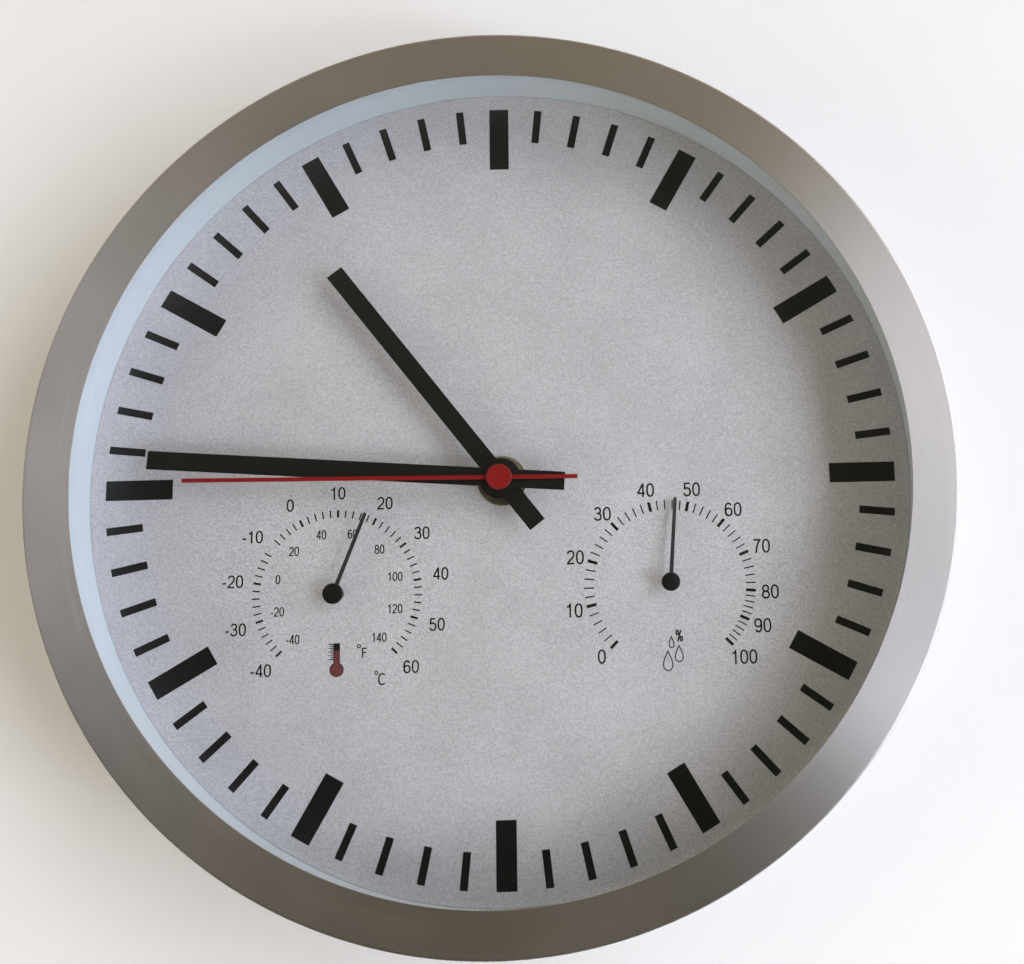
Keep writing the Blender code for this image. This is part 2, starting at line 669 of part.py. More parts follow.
def make_hanger():
    """Steel keyhole plate inside the back panel, and its two screws."""
    low = PANEL_THICKNESS + SEAT
    middle = hanger_middle()
    edge = rounded_box(-HANGER_WIDTH / 2, middle - HANGER_HEIGHT / 2, HANGER_WIDTH / 2,
                       middle + HANGER_HEIGHT / 2, HANGER_CORNER)
    holes = [circle(HANGER_SCREW_RADIUS + PRESS, SMALL_SIDES, place) for place in hanger_screw_places()]
    plate("hanger_plate", [edge, keyhole_outline()] + holes, HANGER_THICKNESS, STEEL, z=low)
    head = low + HANGER_THICKNESS + SEAT
    for i, place in enumerate(hanger_screw_places()):
        crown = HANGER_HEAD_RADIUS * HEAD_CROWN_SHARE
        profile = [(0, head + HANGER_HEAD_HEIGHT), (crown, head + HANGER_HEAD_HEIGHT),
                   (HANGER_HEAD_RADIUS, head + HANGER_HEAD_HEIGHT / 2), (HANGER_HEAD_RADIUS, head),
                   (HANGER_SCREW_RADIUS, head), (HANGER_SCREW_RADIUS, RUN), (0, RUN)]
        turned(f"hanger_screw_{i + 1}", profile, STEEL, sides=SMALL_SIDES, closed=False, at=place)


def make_glass():
    """Flat glass on the ring's top edge, and the foam seal between it and the lip."""
    plate("glass_lens", [circle(GLASS_RADIUS, RING_SIDES)], GLASS_THICKNESS, CLEAR_GLASS, z=GLASS_Z)
    plate("glass_seal", [circle(GLASS_RADIUS, SEAL_SIDES), circle(LIP_RADIUS + SEAL_SETBACK, SEAL_SIDES)],
          SEAL_THICKNESS, BLACK_FOAM, z=SEAL_Z)


def make_dial():
    """Dial disc with the holes for the bush and the two instrument arbors."""
    holes = [circle(BUSH_RADIUS + RUN, BORE_SIDES)]
    holes += [circle(INSTRUMENT_HOLE, BORE_SIDES, place) for place in INSTRUMENTS.values()]
    plate("dial_plate", [circle(DIAL_RADIUS, RING_SIDES)] + holes, DIAL_THICKNESS, DIAL_PAINT, z=DIAL_BACK)


def gear_outline(teeth, module):
    """Corners of a spur gear with straight-flanked teeth, one tooth on the X axis."""
    pitch_radius = teeth * module / 2
    root = pitch_radius - ROOT_SHARE * module
    tip = pitch_radius + TIP_SHARE * module
    root_half = ROOT_WIDTH_SHARE * math.pi * module / 2 / root
    tip_half = TIP_WIDTH_SHARE * math.pi * module / 2 / tip
    points = []
    for tooth in range(teeth):
        middle = math.tau * tooth / teeth
        for radius, turn in ((root, -root_half), (tip, -tip_half), (tip, tip_half), (root, root_half)):
            points.append(polar(radius, middle + turn))
    return points


def gear(name, teeth, module, low, high, look, at, spin):
    """One spur gear between two heights."""
    return plate(name, [gear_outline(teeth, module)], high - low, look, at=at, z=low, spin=spin)


def mesh_distance(teeth_a, teeth_b, module):
    """Distance between the axes of two meshing gears."""
    return (teeth_a + teeth_b) * module / 2


def mesh_spin(bearing, spin, teeth_a, teeth_b):
    """Spin of gear B that puts its teeth in the gaps of gear A, which B lies from at a bearing."""
    lead = (bearing - spin) * teeth_a / math.tau
    return bearing + math.pi - (0.5 - lead) * math.tau / teeth_b


CENTRE = (0, 0)
SECONDS_IDLER_AT = offset(CENTRE, mesh_distance(PINION_TEETH, SECONDS_TEETH, FINE_MODULE),
                          SECONDS_IDLER_BEARING)
SECONDS_ROTOR_AT = offset(SECONDS_IDLER_AT, mesh_distance(PINION_TEETH, SECONDS_IDLER_TEETH, FINE_MODULE),
                          SECONDS_ROTOR_BEARING)
MINUTES_IDLER_AT = offset(CENTRE, mesh_distance(PINION_TEETH, MINUTE_TEETH, FINE_MODULE),
                          MINUTES_IDLER_BEARING)
MINUTES_ROTOR_AT = offset(MINUTES_IDLER_AT, mesh_distance(PINION_TEETH, MINUTES_IDLER_TEETH, FINE_MODULE),
                          MINUTES_ROTOR_BEARING)
MOTION_AT = offset(CENTRE, mesh_distance(CANNON_TEETH, MOTION_TEETH, CANNON_MODULE), MOTION_BEARING)


def wheel_and_pinion(name, wheel_teeth, pinion_teeth, module, wheel_z, pinion_top, spins, ends, look, at):
    """A wheel, a pinion in front of it and their arbor, moulded in one."""
    wheel = gear(name, wheel_teeth, module, wheel_z, wheel_z + WHEEL_THICKNESS, look, at, spins[0])
    pinion = gear(name + "_pinion", pinion_teeth, module, wheel_z + WHEEL_THICKNESS / 2, pinion_top,
                  look, at, spins[1])
    arbor = rod(name + "_arbor", ARBOR_RADIUS, ends[0], ends[1], look, sides=SMALL_SIDES, at=at)
    return combine(wheel, [pinion, arbor], "UNION")


def rotor(name, pinion_low, pinion_high, front_end, spin, at):
    """Round magnet with its pinion and arbor."""
    magnet = rod(name, MAGNET_RADIUS, 0, MAGNET_THICKNESS, FERRITE, sides=BORE_SIDES, at=at, z=MAGNET_Z)
    pinion = gear(name + "_pinion", PINION_TEETH, FINE_MODULE, pinion_low, pinion_high, FERRITE, at, spin)
    arbor = rod(name + "_arbor", ARBOR_RADIUS, FLOOR - PIVOT_DEPTH, front_end, FERRITE, sides=SMALL_SIDES,
                at=at)
    hub = rod(name + "_hub", ARBOR_RADIUS * HUB_SHARE, MAGNET_Z + MAGNET_THICKNESS / 2,
              (pinion_low + pinion_high) / 2, FERRITE, sides=SMALL_SIDES, at=at)
    return combine(magnet, [hub, pinion, arbor], "UNION")


def make_seconds_train():
    """Seconds wheel on the centre arbor, its idler and its motor's rotor."""
    pinion_low = SECONDS_WHEEL_Z - LAYER_GAP / 2
    pinion_high = SECONDS_WHEEL_Z + WHEEL_THICKNESS + LAYER_GAP / 2
    wheel = gear("seconds_wheel", SECONDS_TEETH, FINE_MODULE, SECONDS_WHEEL_Z,
                 SECONDS_WHEEL_Z + WHEEL_THICKNESS, NATURAL_PLASTIC, CENTRE, 0)
    arbor = rod("seconds_arbor", SECOND_ARBOR_RADIUS, FLOOR - PIVOT_DEPTH, CAP_Z + SEAT / 2, STEEL,
                sides=PIN_SIDES)
    collar = rod("seconds_collar", SECOND_ARBOR_RADIUS * COLLAR_SHARE, SECONDS_WHEEL_Z - LAYER_GAP,
                 SECONDS_WHEEL_Z + WHEEL_THICKNESS / 2, NATURAL_PLASTIC, sides=PIN_SIDES)
    combine(wheel, [collar, arbor], "UNION")
    pinion_spin = mesh_spin(SECONDS_IDLER_BEARING, 0, SECONDS_TEETH, PINION_TEETH)
    idler_spin = pinion_spin
    wheel_and_pinion("seconds_idler", SECONDS_IDLER_TEETH, PINION_TEETH, FINE_MODULE, SECONDS_IDLER_Z,
                     pinion_high, (idler_spin, pinion_spin),
                     (FLOOR - PIVOT_DEPTH, PLATE_Z + PIVOT_DEPTH), NATURAL_PLASTIC, SECONDS_IDLER_AT)
    rotor_spin = mesh_spin(SECONDS_ROTOR_BEARING, idler_spin, SECONDS_IDLER_TEETH, PINION_TEETH)
    rotor("seconds_rotor", SECONDS_IDLER_Z - LAYER_GAP / 2, pinion_low, PLATE_Z + PIVOT_DEPTH,
          rotor_spin, SECONDS_ROTOR_AT)


def make_minutes_train():
    """Minute wheel with its tube and cannon pinion, its idler and its motor's rotor."""
    pinion_high = MINUTE_WHEEL_Z + WHEEL_THICKNESS + LAYER_GAP / 2
    wheel = gear("minute_wheel", MINUTE_TEETH, FINE_MODULE, MINUTE_WHEEL_Z,
                 MINUTE_WHEEL_Z + WHEEL_THICKNESS, NATURAL_PLASTIC, CENTRE, 0)
    cannon = gear("cannon_pinion", CANNON_TEETH, CANNON_MODULE, MINUTE_WHEEL_Z + WHEEL_THICKNESS / 2,
                  MOTION_Z + WHEEL_THICKNESS + LAYER_GAP / 2, NATURAL_PLASTIC, CENTRE, 0)
    tube = rod("minute_tube", MINUTE_TUBE_RADIUS, MINUTE_WHEEL_Z - LAYER_GAP,
               MINUTE_HAND_Z + HAND_THICKNESS + SEAT, NATURAL_PLASTIC, sides=BORE_SIDES)
    combine(wheel, [cannon, tube], "UNION")
    bore = rod("minute_bore", MINUTE_TUBE_INSIDE, PLATE_Z, SECOND_HAND_Z, NATURAL_PLASTIC,
               sides=PIN_SIDES)
    combine(wheel, [bore], "DIFFERENCE")
    pinion_spin = mesh_spin(MINUTES_IDLER_BEARING, 0, MINUTE_TEETH, PINION_TEETH)
    idler_spin = pinion_spin
    wheel_and_pinion("minutes_idler", MINUTES_IDLER_TEETH, PINION_TEETH, FINE_MODULE, MINUTES_IDLER_Z,
                     pinion_high, (idler_spin, pinion_spin),
                     (PLATE_Z + PLATE_THICKNESS - PIVOT_DEPTH, CEILING + PIVOT_DEPTH), NATURAL_PLASTIC,
                     MINUTES_IDLER_AT)
    rotor_spin = mesh_spin(MINUTES_ROTOR_BEARING, idler_spin, MINUTES_IDLER_TEETH, PINION_TEETH)
    rotor("minutes_rotor", MINUTES_IDLER_Z - LAYER_GAP / 2,
          MINUTES_IDLER_Z + WHEEL_THICKNESS + LAYER_GAP / 2, CEILING + PIVOT_DEPTH, rotor_spin,
          MINUTES_ROTOR_AT)


def make_motion_work():
    """Motion wheel on the lid's post, and hour wheel with its tube, at a twelfth of the minute hand."""
    wheel_spin = mesh_spin(MOTION_BEARING, 0, CANNON_TEETH, MOTION_TEETH)
    wheel = gear("motion_wheel", MOTION_TEETH, CANNON_MODULE, MOTION_Z, MOTION_Z + WHEEL_THICKNESS,
                 YELLOW_PLASTIC, MOTION_AT, wheel_spin)
    pinion = gear("motion_pinion", MOTION_PINION_TEETH, MOTION_MODULE, MOTION_Z + WHEEL_THICKNESS / 2,
                  HOUR_WHEEL_Z + WHEEL_THICKNESS + LAYER_GAP / 2, YELLOW_PLASTIC, MOTION_AT, wheel_spin)
    combine(wheel, [pinion], "UNION")
    bore = rod("motion_bore", POST_RADIUS + RUN, MOTION_Z - OVERRUN, CEILING + OVERRUN, YELLOW_PLASTIC,
               sides=PIN_SIDES, at=MOTION_AT)
    combine(wheel, [bore], "DIFFERENCE")
    hour_spin = mesh_spin(MOTION_BEARING + math.pi, wheel_spin, MOTION_PINION_TEETH, HOUR_TEETH)
    hour = gear("hour_wheel", HOUR_TEETH, MOTION_MODULE, HOUR_WHEEL_Z, HOUR_WHEEL_Z + WHEEL_THICKNESS,
                YELLOW_PLASTIC, CENTRE, hour_spin)
    tube = rod("hour_tube", HOUR_TUBE_RADIUS, HOUR_WHEEL_Z + WHEEL_THICKNESS / 2,
               HOUR_HAND_Z + HAND_THICKNESS + SEAT, YELLOW_PLASTIC, sides=BORE_SIDES)
    combine(hour, [tube], "UNION")
    hour_bore = rod("hour_bore", HOUR_TUBE_INSIDE, MOTION_Z, MINUTE_HAND_Z, YELLOW_PLASTIC,
                    sides=BORE_SIDES)
    combine(hour, [hour_bore], "DIFFERENCE")


def make_train_plate():
    """Middle plate that bears the seconds train behind it and the minutes train before it."""
    edge = rounded_box(-CAVITY + RUN, DIVIDER_HIGH + RUN, CAVITY - RUN, PLATE_HIGH, SHELL_WALL)
    pivot = ARBOR_RADIUS + PRESS
    holes = [circle(SECOND_ARBOR_RADIUS + RUN, PIN_SIDES)]
    pivoted = (SECONDS_IDLER_AT, SECONDS_ROTOR_AT, MINUTES_IDLER_AT)
    holes += [circle(pivot, SMALL_SIDES, at) for at in pivoted]
    holes.append(circle(ARBOR_RADIUS * HUB_SHARE + RUN, PIN_SIDES, MINUTES_ROTOR_AT))
    plate("train_plate", [edge] + holes, PLATE_THICKNESS, BLACK_PLASTIC, z=PLATE_Z)


def make_movement_case():
    """Case of the movement: a tub with a gear room and a battery bay, open to the rear."""
    half = MOVEMENT_SIZE / 2
    tub = plate("movement_case", [rounded_box(-half, -half, half, half, MOVEMENT_CORNER)],
                LID_SEAM - RUN - MOVEMENT_BACK, BLACK_PLASTIC, z=MOVEMENT_BACK)
    room = plate("gear_room", [rounded_box(-CAVITY, DIVIDER_HIGH, CAVITY, CAVITY, SHELL_WALL)],
                 LID_SEAM + OVERRUN - FLOOR, BLACK_PLASTIC, z=FLOOR)
    bay = plate("battery_bay", [rounded_box(-CAVITY, -CAVITY, CAVITY, DIVIDER_LOW, SHELL_WALL)],
                LID_SEAM - MOVEMENT_BACK + OVERRUN * 2, BLACK_PLASTIC, z=MOVEMENT_BACK - OVERRUN)
    pivots = []
    for i, (at, radius) in enumerate(((CENTRE, SECOND_ARBOR_RADIUS), (SECONDS_IDLER_AT, ARBOR_RADIUS),
                                      (SECONDS_ROTOR_AT, ARBOR_RADIUS), (MINUTES_ROTOR_AT, ARBOR_RADIUS))):
        pivots.append(rod(f"case_pivot_{i + 1}", radius + PRESS, FLOOR - PIVOT_DEPTH - RUN,
                          FLOOR + OVERRUN, BLACK_PLASTIC, sides=SMALL_SIDES, at=at))
    holes = [rod(f"button_hole_{i + 1}", BUTTON_RADIUS + RUN, MOVEMENT_BACK - OVERRUN, FLOOR + OVERRUN,
                 BLACK_PLASTIC, sides=PIN_SIDES, at=at) for i, at in enumerate(button_places())]
    combine(tub, [room, bay] + pivots + holes, "DIFFERENCE")


def make_movement_lid():
    """Front lid of the movement, with the post of the motion wheel and the pivots' holes."""
    half = MOVEMENT_SIZE / 2
    lid = plate("movement_lid", [rounded_box(-half, -half, half, half, MOVEMENT_CORNER)], LID_DEPTH,
                BLACK_PLASTIC, z=LID_SEAM)
    room = plate("lid_room", [rounded_box(-CAVITY, -CAVITY, CAVITY, CAVITY, SHELL_WALL)],
                 CEILING - LID_SEAM + OVERRUN, BLACK_PLASTIC, z=LID_SEAM - OVERRUN)
    post = rod("motion_post", POST_RADIUS, MOTION_Z, CEILING + SHELL_WALL / 2, BLACK_PLASTIC,
               sides=PIN_SIDES, at=MOTION_AT)
    holes = [rod("bush_hole", BUSH_HEAD_RADIUS + PRESS, CEILING - OVERRUN, MOVEMENT_FRONT + OVERRUN,
                 BLACK_PLASTIC, sides=ROUND_SIDES)]
    for i, at in enumerate((MINUTES_IDLER_AT, MINUTES_ROTOR_AT)):
        holes.append(rod(f"lid_pivot_{i + 1}", ARBOR_RADIUS + PRESS, CEILING - OVERRUN,
                         CEILING + PIVOT_DEPTH + RUN, BLACK_PLASTIC, sides=SMALL_SIDES, at=at))
    combine(lid, [room], "DIFFERENCE")
    combine(lid, [post], "UNION")
    combine(lid, holes, "DIFFERENCE")


def stator_outline(side):
    """Horseshoe lamination round the rotor, with two arms that hold the coil; side is -1 or 1."""
    rim = MAGNET_RADIUS + STATOR_GAP + STATOR_RIM
    top = COIL_OFFSET + COIL_RADIUS / 2
    points = [(-rim, -rim), (STATOR_REACH, -rim), (STATOR_REACH, top), (STATOR_REACH - STATOR_ARM, top),
              (STATOR_REACH - STATOR_ARM, rim), (-rim + STATOR_ARM, rim), (-rim + STATOR_ARM, top),
              (-rim, top)]
    return [(x * side, y) for x, y in points]


def make_motor(name, side, at):
    """Stator and coil of one stepping motor."""
    hole = circle(MAGNET_RADIUS + STATOR_GAP, BORE_SIDES)
    plate(name + "_stator", [stator_outline(side), hole], STATOR_THICKNESS, STEEL, at=at, z=MAGNET_Z)
    rim = MAGNET_RADIUS + STATOR_GAP + STATOR_RIM
    low = -rim + STATOR_ARM + SEAT
    high = STATOR_REACH - STATOR_ARM - SEAT
    wire = COIL_RADIUS - WINDING_DIP
    profile = [(0, high), (COIL_RADIUS, high), (COIL_RADIUS, high - BOBBIN_FLANGE),
               (wire, high - BOBBIN_FLANGE), (wire, low + BOBBIN_FLANGE),
               (COIL_RADIUS, low + BOBBIN_FLANGE), (COIL_RADIUS, low), (0, low)]
    coil = turned(name + "_coil", profile, COPPER, sides=PIN_SIDES, closed=False)
    coil.location = (at[0], at[1] + COIL_OFFSET, FLOOR + RUN + COIL_RADIUS)
    coil.rotation_euler = (0, side * math.pi / 2, 0)


def button_places():
    """The set button and the signal button, side by side above the motors."""
    height = (BOARD_LOW + CAVITY) / 2
    return [(-BUTTON_SPREAD, height), (BUTTON_SPREAD, height)]


def make_electronics():
    """Circuit board, aerial rod with its coil, and the two push buttons."""
    edge = CAVITY - RUN
    middle = (BOARD_LOW + edge) / 2
    plate("circuit_board", [rounded_box(-edge, BOARD_LOW, edge, edge, SHELL_WALL)], BOARD_THICKNESS,
          BOARD_GREEN, z=FLOOR + BOARD_LIFT)
    height = FLOOR + BOARD_LIFT + BOARD_THICKNESS + RUN + AERIAL_RADIUS
    rod_half = ROD_LENGTH / 2
    aerial = turned("aerial_rod", [(0, rod_half), (ROD_RADIUS, rod_half), (ROD_RADIUS, -rod_half),
                                   (0, -rod_half)], FERRITE, sides=PIN_SIDES, closed=False)
    wound = AERIAL_LENGTH / 2
    bore = ROD_RADIUS + RUN
    coil = turned("aerial_coil", [(AERIAL_RADIUS, wound), (AERIAL_RADIUS, -wound), (bore, -wound),
                                  (bore, wound)], COPPER, sides=BORE_SIDES)
    for part in (aerial, coil):
        part.location = (0, middle, height)
        part.rotation_euler = (0, math.pi / 2, 0)
    for name, at in zip(("set_button", "signal_button"), button_places()):
        flange = FLOOR + SEAT
        profile = [(0, flange + BUTTON_FLANGE_THICKNESS),
                   (BUTTON_FLANGE_RADIUS, flange + BUTTON_FLANGE_THICKNESS),
                   (BUTTON_FLANGE_RADIUS, flange), (BUTTON_RADIUS, flange),
                   (BUTTON_RADIUS, MOVEMENT_BACK - BUTTON_PROUD), (0, MOVEMENT_BACK - BUTTON_PROUD)]
        turned(name, [(radius, z - flange) for radius, z in profile], RED_PAINT if name == "set_button"
               else NATURAL_PLASTIC, sides=PIN_SIDES, closed=False, at=at, z=flange)


def make_battery():
    """One AA cell across the bay, and a contact strip at each end."""
    half = BATTERY_LENGTH / 2
    nub = half + BATTERY_NUB_LENGTH
    profile = [(0, nub), (BATTERY_NUB_RADIUS, nub), (BATTERY_NUB_RADIUS, half),
               (BATTERY_RADIUS - RUN, half), (BATTERY_RADIUS, half - RUN), (BATTERY_RADIUS, -half + RUN),
               (BATTERY_RADIUS - RUN, -half), (0, -half)]
    cell = turned("battery", profile, BATTERY_WRAP, sides=ROUND_SIDES, closed=False)
    height = MOVEMENT_BACK + RUN + BATTERY_RADIUS
    cell.location = (0, BATTERY_Y, height)
    cell.rotation_euler = (0, math.pi / 2, 0)
    for name, side, end in (("contact_plus", 1, nub), ("contact_minus", -1, half)):
        wall = CAVITY - SEAT
        reach = end + SEAT
        rise = BATTERY_RADIUS * CONTACT_RISE_SHARE
        fold = rise * CONTACT_FOLD_SHARE
        points = [(wall, -rise), (wall, rise), (wall - CONTACT_THICKNESS, rise),
                  (reach, CONTACT_THICKNESS), (reach, -CONTACT_THICKNESS),
                  (wall - CONTACT_THICKNESS, -rise)]
        inner = [(wall - CONTACT_THICKNESS, -fold), (wall - CONTACT_THICKNESS, fold),
                 (reach + CONTACT_THICKNESS, 0)]
        plate(name, [[(x * side, y) for x, y in points], [(x * side, y) for x, y in inner]],
              CONTACT_WIDTH, STEEL, at=(0, BATTERY_Y), z=height - CONTACT_WIDTH / 2)


def make_centre_fixings():
    """Rubber washer behind the dial, and the brass bush, washer and nut that clamp it."""
    bush_hole = circle(BUSH_RADIUS + RUN, BORE_SIDES)
    plate("rubber_washer", [circle(RUBBER_RADIUS, ROUND_SIDES), bush_hole], RUBBER_THICKNESS, RUBBER,
          z=RUBBER_Z)
    head_top = CEILING + BUSH_HEAD_HEIGHT
    top = DIAL_FACE + BUSH_PROUD
    turned("centre_bush", [(BUSH_RADIUS, top), (BUSH_RADIUS, head_top), (BUSH_HEAD_RADIUS, head_top),
                           (BUSH_HEAD_RADIUS, CEILING), (BUSH_INSIDE, CEILING), (BUSH_INSIDE, top)],
           BRASS, sides=BORE_SIDES)
    plate("brass_washer", [circle(WASHER_RADIUS, ROUND_SIDES), bush_hole], WASHER_THICKNESS, BRASS,
          z=DIAL_FACE + SEAT)
    nut_low = DIAL_FACE + SEAT + WASHER_THICKNESS + SEAT
    corner = NUT_FLATS / 2 / math.cos(math.pi / 6)
    nut = plate("brass_nut", [circle(corner, 6)], NUT_HEIGHT, BRASS, z=nut_low)
    bevel(nut, NUT_CHAMFER)
    bore = rod("nut_bore", BUSH_RADIUS + PRESS, nut_low - OVERRUN, nut_low + NUT_HEIGHT + OVERRUN, BRASS,
               sides=BORE_SIDES)
    combine(nut, [bore], "DIFFERENCE")


def hand_outline(width, reach, tail, boss, steps=6):
    """A straight bar with a round boss at its axis, pointing to twelve."""
    half = width / 2
    lean = math.asin(half / boss)
    quarter = math.pi / 2
    right = arc(boss, quarter - lean, -quarter + lean, steps)
    left = arc(boss, -quarter - lean, -3 * quarter + lean, steps)
    return [(-half, reach), (half, reach)] + right + [(half, -tail), (-half, -tail)] + left


def make_hands():
    """Hour, minute and second hand, pressed on their tubes, and the red cap."""
    plate("hour_hand", [hand_outline(HAND_WIDTH, HOUR_HAND_REACH, HOUR_HAND_TAIL, HOUR_BOSS_RADIUS),
                        circle(HOUR_TUBE_RADIUS + PRESS, BORE_SIDES)], HAND_THICKNESS, BLACK_PAINT,
          z=HOUR_HAND_Z, spin=-HOUR_ANGLE)
    plate("minute_hand", [hand_outline(HAND_WIDTH, MINUTE_HAND_REACH, MINUTE_HAND_TAIL, MINUTE_BOSS_RADIUS),
                          circle(MINUTE_TUBE_RADIUS + PRESS, BORE_SIDES)], HAND_THICKNESS, BLACK_PAINT,
          z=MINUTE_HAND_Z, spin=-MINUTE_ANGLE)
    plate("second_hand", [hand_outline(SECOND_HAND_WIDTH, SECOND_HAND_REACH, SECOND_HAND_TAIL,
                                       SECOND_BOSS_RADIUS),
                          circle(SECOND_ARBOR_RADIUS + PRESS, PIN_SIDES)], SECOND_HAND_THICKNESS, RED_PAINT,
          z=SECOND_HAND_Z, spin=-SECOND_ANGLE)
    rounding = arc(CAP_ROUNDING, math.pi / 2, 0, 2, (CAP_RADIUS - CAP_ROUNDING, CAP_HEIGHT - CAP_ROUNDING))
    socket = SECOND_ARBOR_RADIUS + PRESS
    profile = [(0, CAP_HEIGHT)] + rounding + [(CAP_RADIUS, 0), (socket, 0),
                                              (socket, CAP_HEIGHT - CAP_SKIN), (0, CAP_HEIGHT - CAP_SKIN)]
    turned("second_hand_cap", profile, RED_PAINT, sides=ROUND_SIDES, closed=False, z=CAP_Z)


def spiral_outline():
    """A flat strip wound in a growing spiral, outer face out and inner face back."""
    steps = STRIP_TURNS * STRIP_POINTS_PER_TURN
    start = COLLET_RADIUS + PRESS

    def along(inset):
        points = []
        for i in range(steps + 1):
            turn = i / STRIP_POINTS_PER_TURN
            points.append(polar(start + STRIP_PITCH * turn + inset, math.tau * turn))
        return points

    return along(STRIP_THICKNESS) + along(0)[::-1]


def make_instrument(name, at, angle, hub_radius):
    """Cup, bridge, wound strip, arbor and pointer of one instrument."""
    cup_top = CUP_BACK + CUP_DEPTH
    bore = INSTRUMENT_ARBOR_RADIUS + RUN
    turned(name + "_cup", [(CUP_RADIUS, cup_top), (CUP_RADIUS, CUP_BACK), (CUP_RADIUS - CUP_WALL, CUP_BACK),
                           (CUP_RADIUS - CUP_WALL, cup_top - CUP_WALL), (bore, cup_top - CUP_WALL),
                           (bore, cup_top)], INSTRUMENT_PLASTIC, sides=ROUND_SIDES, at=at)
    half = BRIDGE_WIDTH / 2
    ends = math.sqrt(CUP_RADIUS ** 2 - half ** 2)
    plate(name + "_bridge", [rounded_box(-ends, -half, ends, half, half / 2, 2), circle(bore, PIN_SIDES)],
          BRIDGE_THICKNESS, INSTRUMENT_PLASTIC, at=at, z=BRIDGE_Z)
    strip_z = (CUP_BACK + cup_top - CUP_WALL - STRIP_WIDTH) / 2
    plate(name + "_strip", [spiral_outline()], STRIP_WIDTH, BIMETAL, at=at, z=strip_z)
    collet_low, collet_high = strip_z - SEAT, strip_z + STRIP_WIDTH + SEAT
    low = BRIDGE_Z - SEAT
    high = POINTER_Z + POINTER_HUB_HEIGHT / 2
    thin = INSTRUMENT_ARBOR_RADIUS
    turned(name + "_arbor", [(0, high), (thin, high), (thin, collet_high), (COLLET_RADIUS, collet_high),
                             (COLLET_RADIUS, collet_low), (thin, collet_low), (thin, low), (0, low)],
           STEEL, sides=PIN_SIDES, closed=False, at=at)
    outline = hand_outline(POINTER_WIDTH, POINTER_REACH, hub_radius * POINTER_TAIL_SHARE,
                           hub_radius * POINTER_BOSS_SHARE, 3)
    pointer = plate(name + "_pointer", [outline], POINTER_THICKNESS, BLACK_PAINT, at=at, z=POINTER_Z,
                    spin=-angle)
    hub_high = POINTER_Z + POINTER_HUB_HEIGHT
    hub = turned(name + "_hub", [(0, hub_high), (hub_radius - CAP_ROUNDING, hub_high),
                                 (hub_radius, hub_high - CAP_ROUNDING),
                                 (hub_radius, POINTER_Z + POINTER_THICKNESS / 2),
                                 (0, POINTER_Z + POINTER_THICKNESS / 2)],
                 BLACK_PAINT, sides=ROUND_SIDES, closed=False, at=at)
    combine(pointer, [hub], "UNION")
    socket = rod(name + "_socket", thin + PRESS, POINTER_Z - OVERRUN, high + SEAT, BLACK_PAINT,
                 sides=PIN_SIDES, at=at)
    combine(pointer, [socket], "DIFFERENCE")


make_rim()
make_inner_ring()
make_rim_screws()
make_back_panel()
make_panel_screws()
make_hanger()
make_glass()
make_dial()
make_movement_case()
make_movement_lid()
make_train_plate()
make_seconds_train()
make_minutes_train()
make_motion_work()
make_motor("seconds", -1, SECONDS_ROTOR_AT)
make_motor("minutes", 1, MINUTES_ROTOR_AT)
make_electronics()
make_battery()
make_centre_fixings()
make_hands()
make_instrument("thermometer", INSTRUMENTS["thermometer"], THERMOMETER_ANGLE, THERMOMETER_HUB_RADIUS)
make_instrument("hygrometer", INSTRUMENTS["hygrometer"], HYGROMETER_ANGLE, HYGROMETER_HUB_RADIUS)
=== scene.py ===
"""Looks of a wall clock with a thermometer and a hygrometer in its dial.

Laid out as an add-on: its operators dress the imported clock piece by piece, and the panel lists them. Pieces
are drawn in the clock's own frame, with X to three o'clock, Y to twelve o'clock and Z from the wall to the
viewer, and CLOCK turns that frame upright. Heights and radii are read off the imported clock, so that each
piece stays on what carries it.
"""
import json
import math

import bmesh
import bpy
from bpy.props import FloatProperty, FloatVectorProperty, PointerProperty
from mathutils import Euler, Matrix, Vector

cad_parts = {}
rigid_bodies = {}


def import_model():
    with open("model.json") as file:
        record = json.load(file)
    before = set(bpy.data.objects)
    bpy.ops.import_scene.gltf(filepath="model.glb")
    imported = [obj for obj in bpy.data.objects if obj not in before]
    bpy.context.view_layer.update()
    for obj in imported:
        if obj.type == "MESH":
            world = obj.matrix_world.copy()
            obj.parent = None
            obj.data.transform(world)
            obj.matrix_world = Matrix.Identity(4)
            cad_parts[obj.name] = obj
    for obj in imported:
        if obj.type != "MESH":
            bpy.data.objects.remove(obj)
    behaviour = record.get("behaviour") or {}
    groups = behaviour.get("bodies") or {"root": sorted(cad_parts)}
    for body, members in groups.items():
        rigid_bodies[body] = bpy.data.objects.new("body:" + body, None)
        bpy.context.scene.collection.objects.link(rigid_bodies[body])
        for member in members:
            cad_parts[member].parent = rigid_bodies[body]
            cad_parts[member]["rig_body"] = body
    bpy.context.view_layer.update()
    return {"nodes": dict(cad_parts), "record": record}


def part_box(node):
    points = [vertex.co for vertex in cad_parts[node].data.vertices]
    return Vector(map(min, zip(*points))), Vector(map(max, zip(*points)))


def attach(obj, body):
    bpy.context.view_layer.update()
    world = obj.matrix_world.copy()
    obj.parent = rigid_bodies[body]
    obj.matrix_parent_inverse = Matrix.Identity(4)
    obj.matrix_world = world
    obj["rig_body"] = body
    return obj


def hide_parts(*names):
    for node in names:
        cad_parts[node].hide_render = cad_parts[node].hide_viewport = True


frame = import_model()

bl_info = {
    "name": "Weather station wall clock",
    "version": (1, 0, 0),
    "blender": (4, 5, 0),
    "location": "3D View > Sidebar > Wall Clock",
    "description": "Dresses the packed wall clock with its finishes, dial print, hands and back",
    "category": "Add Mesh",
}

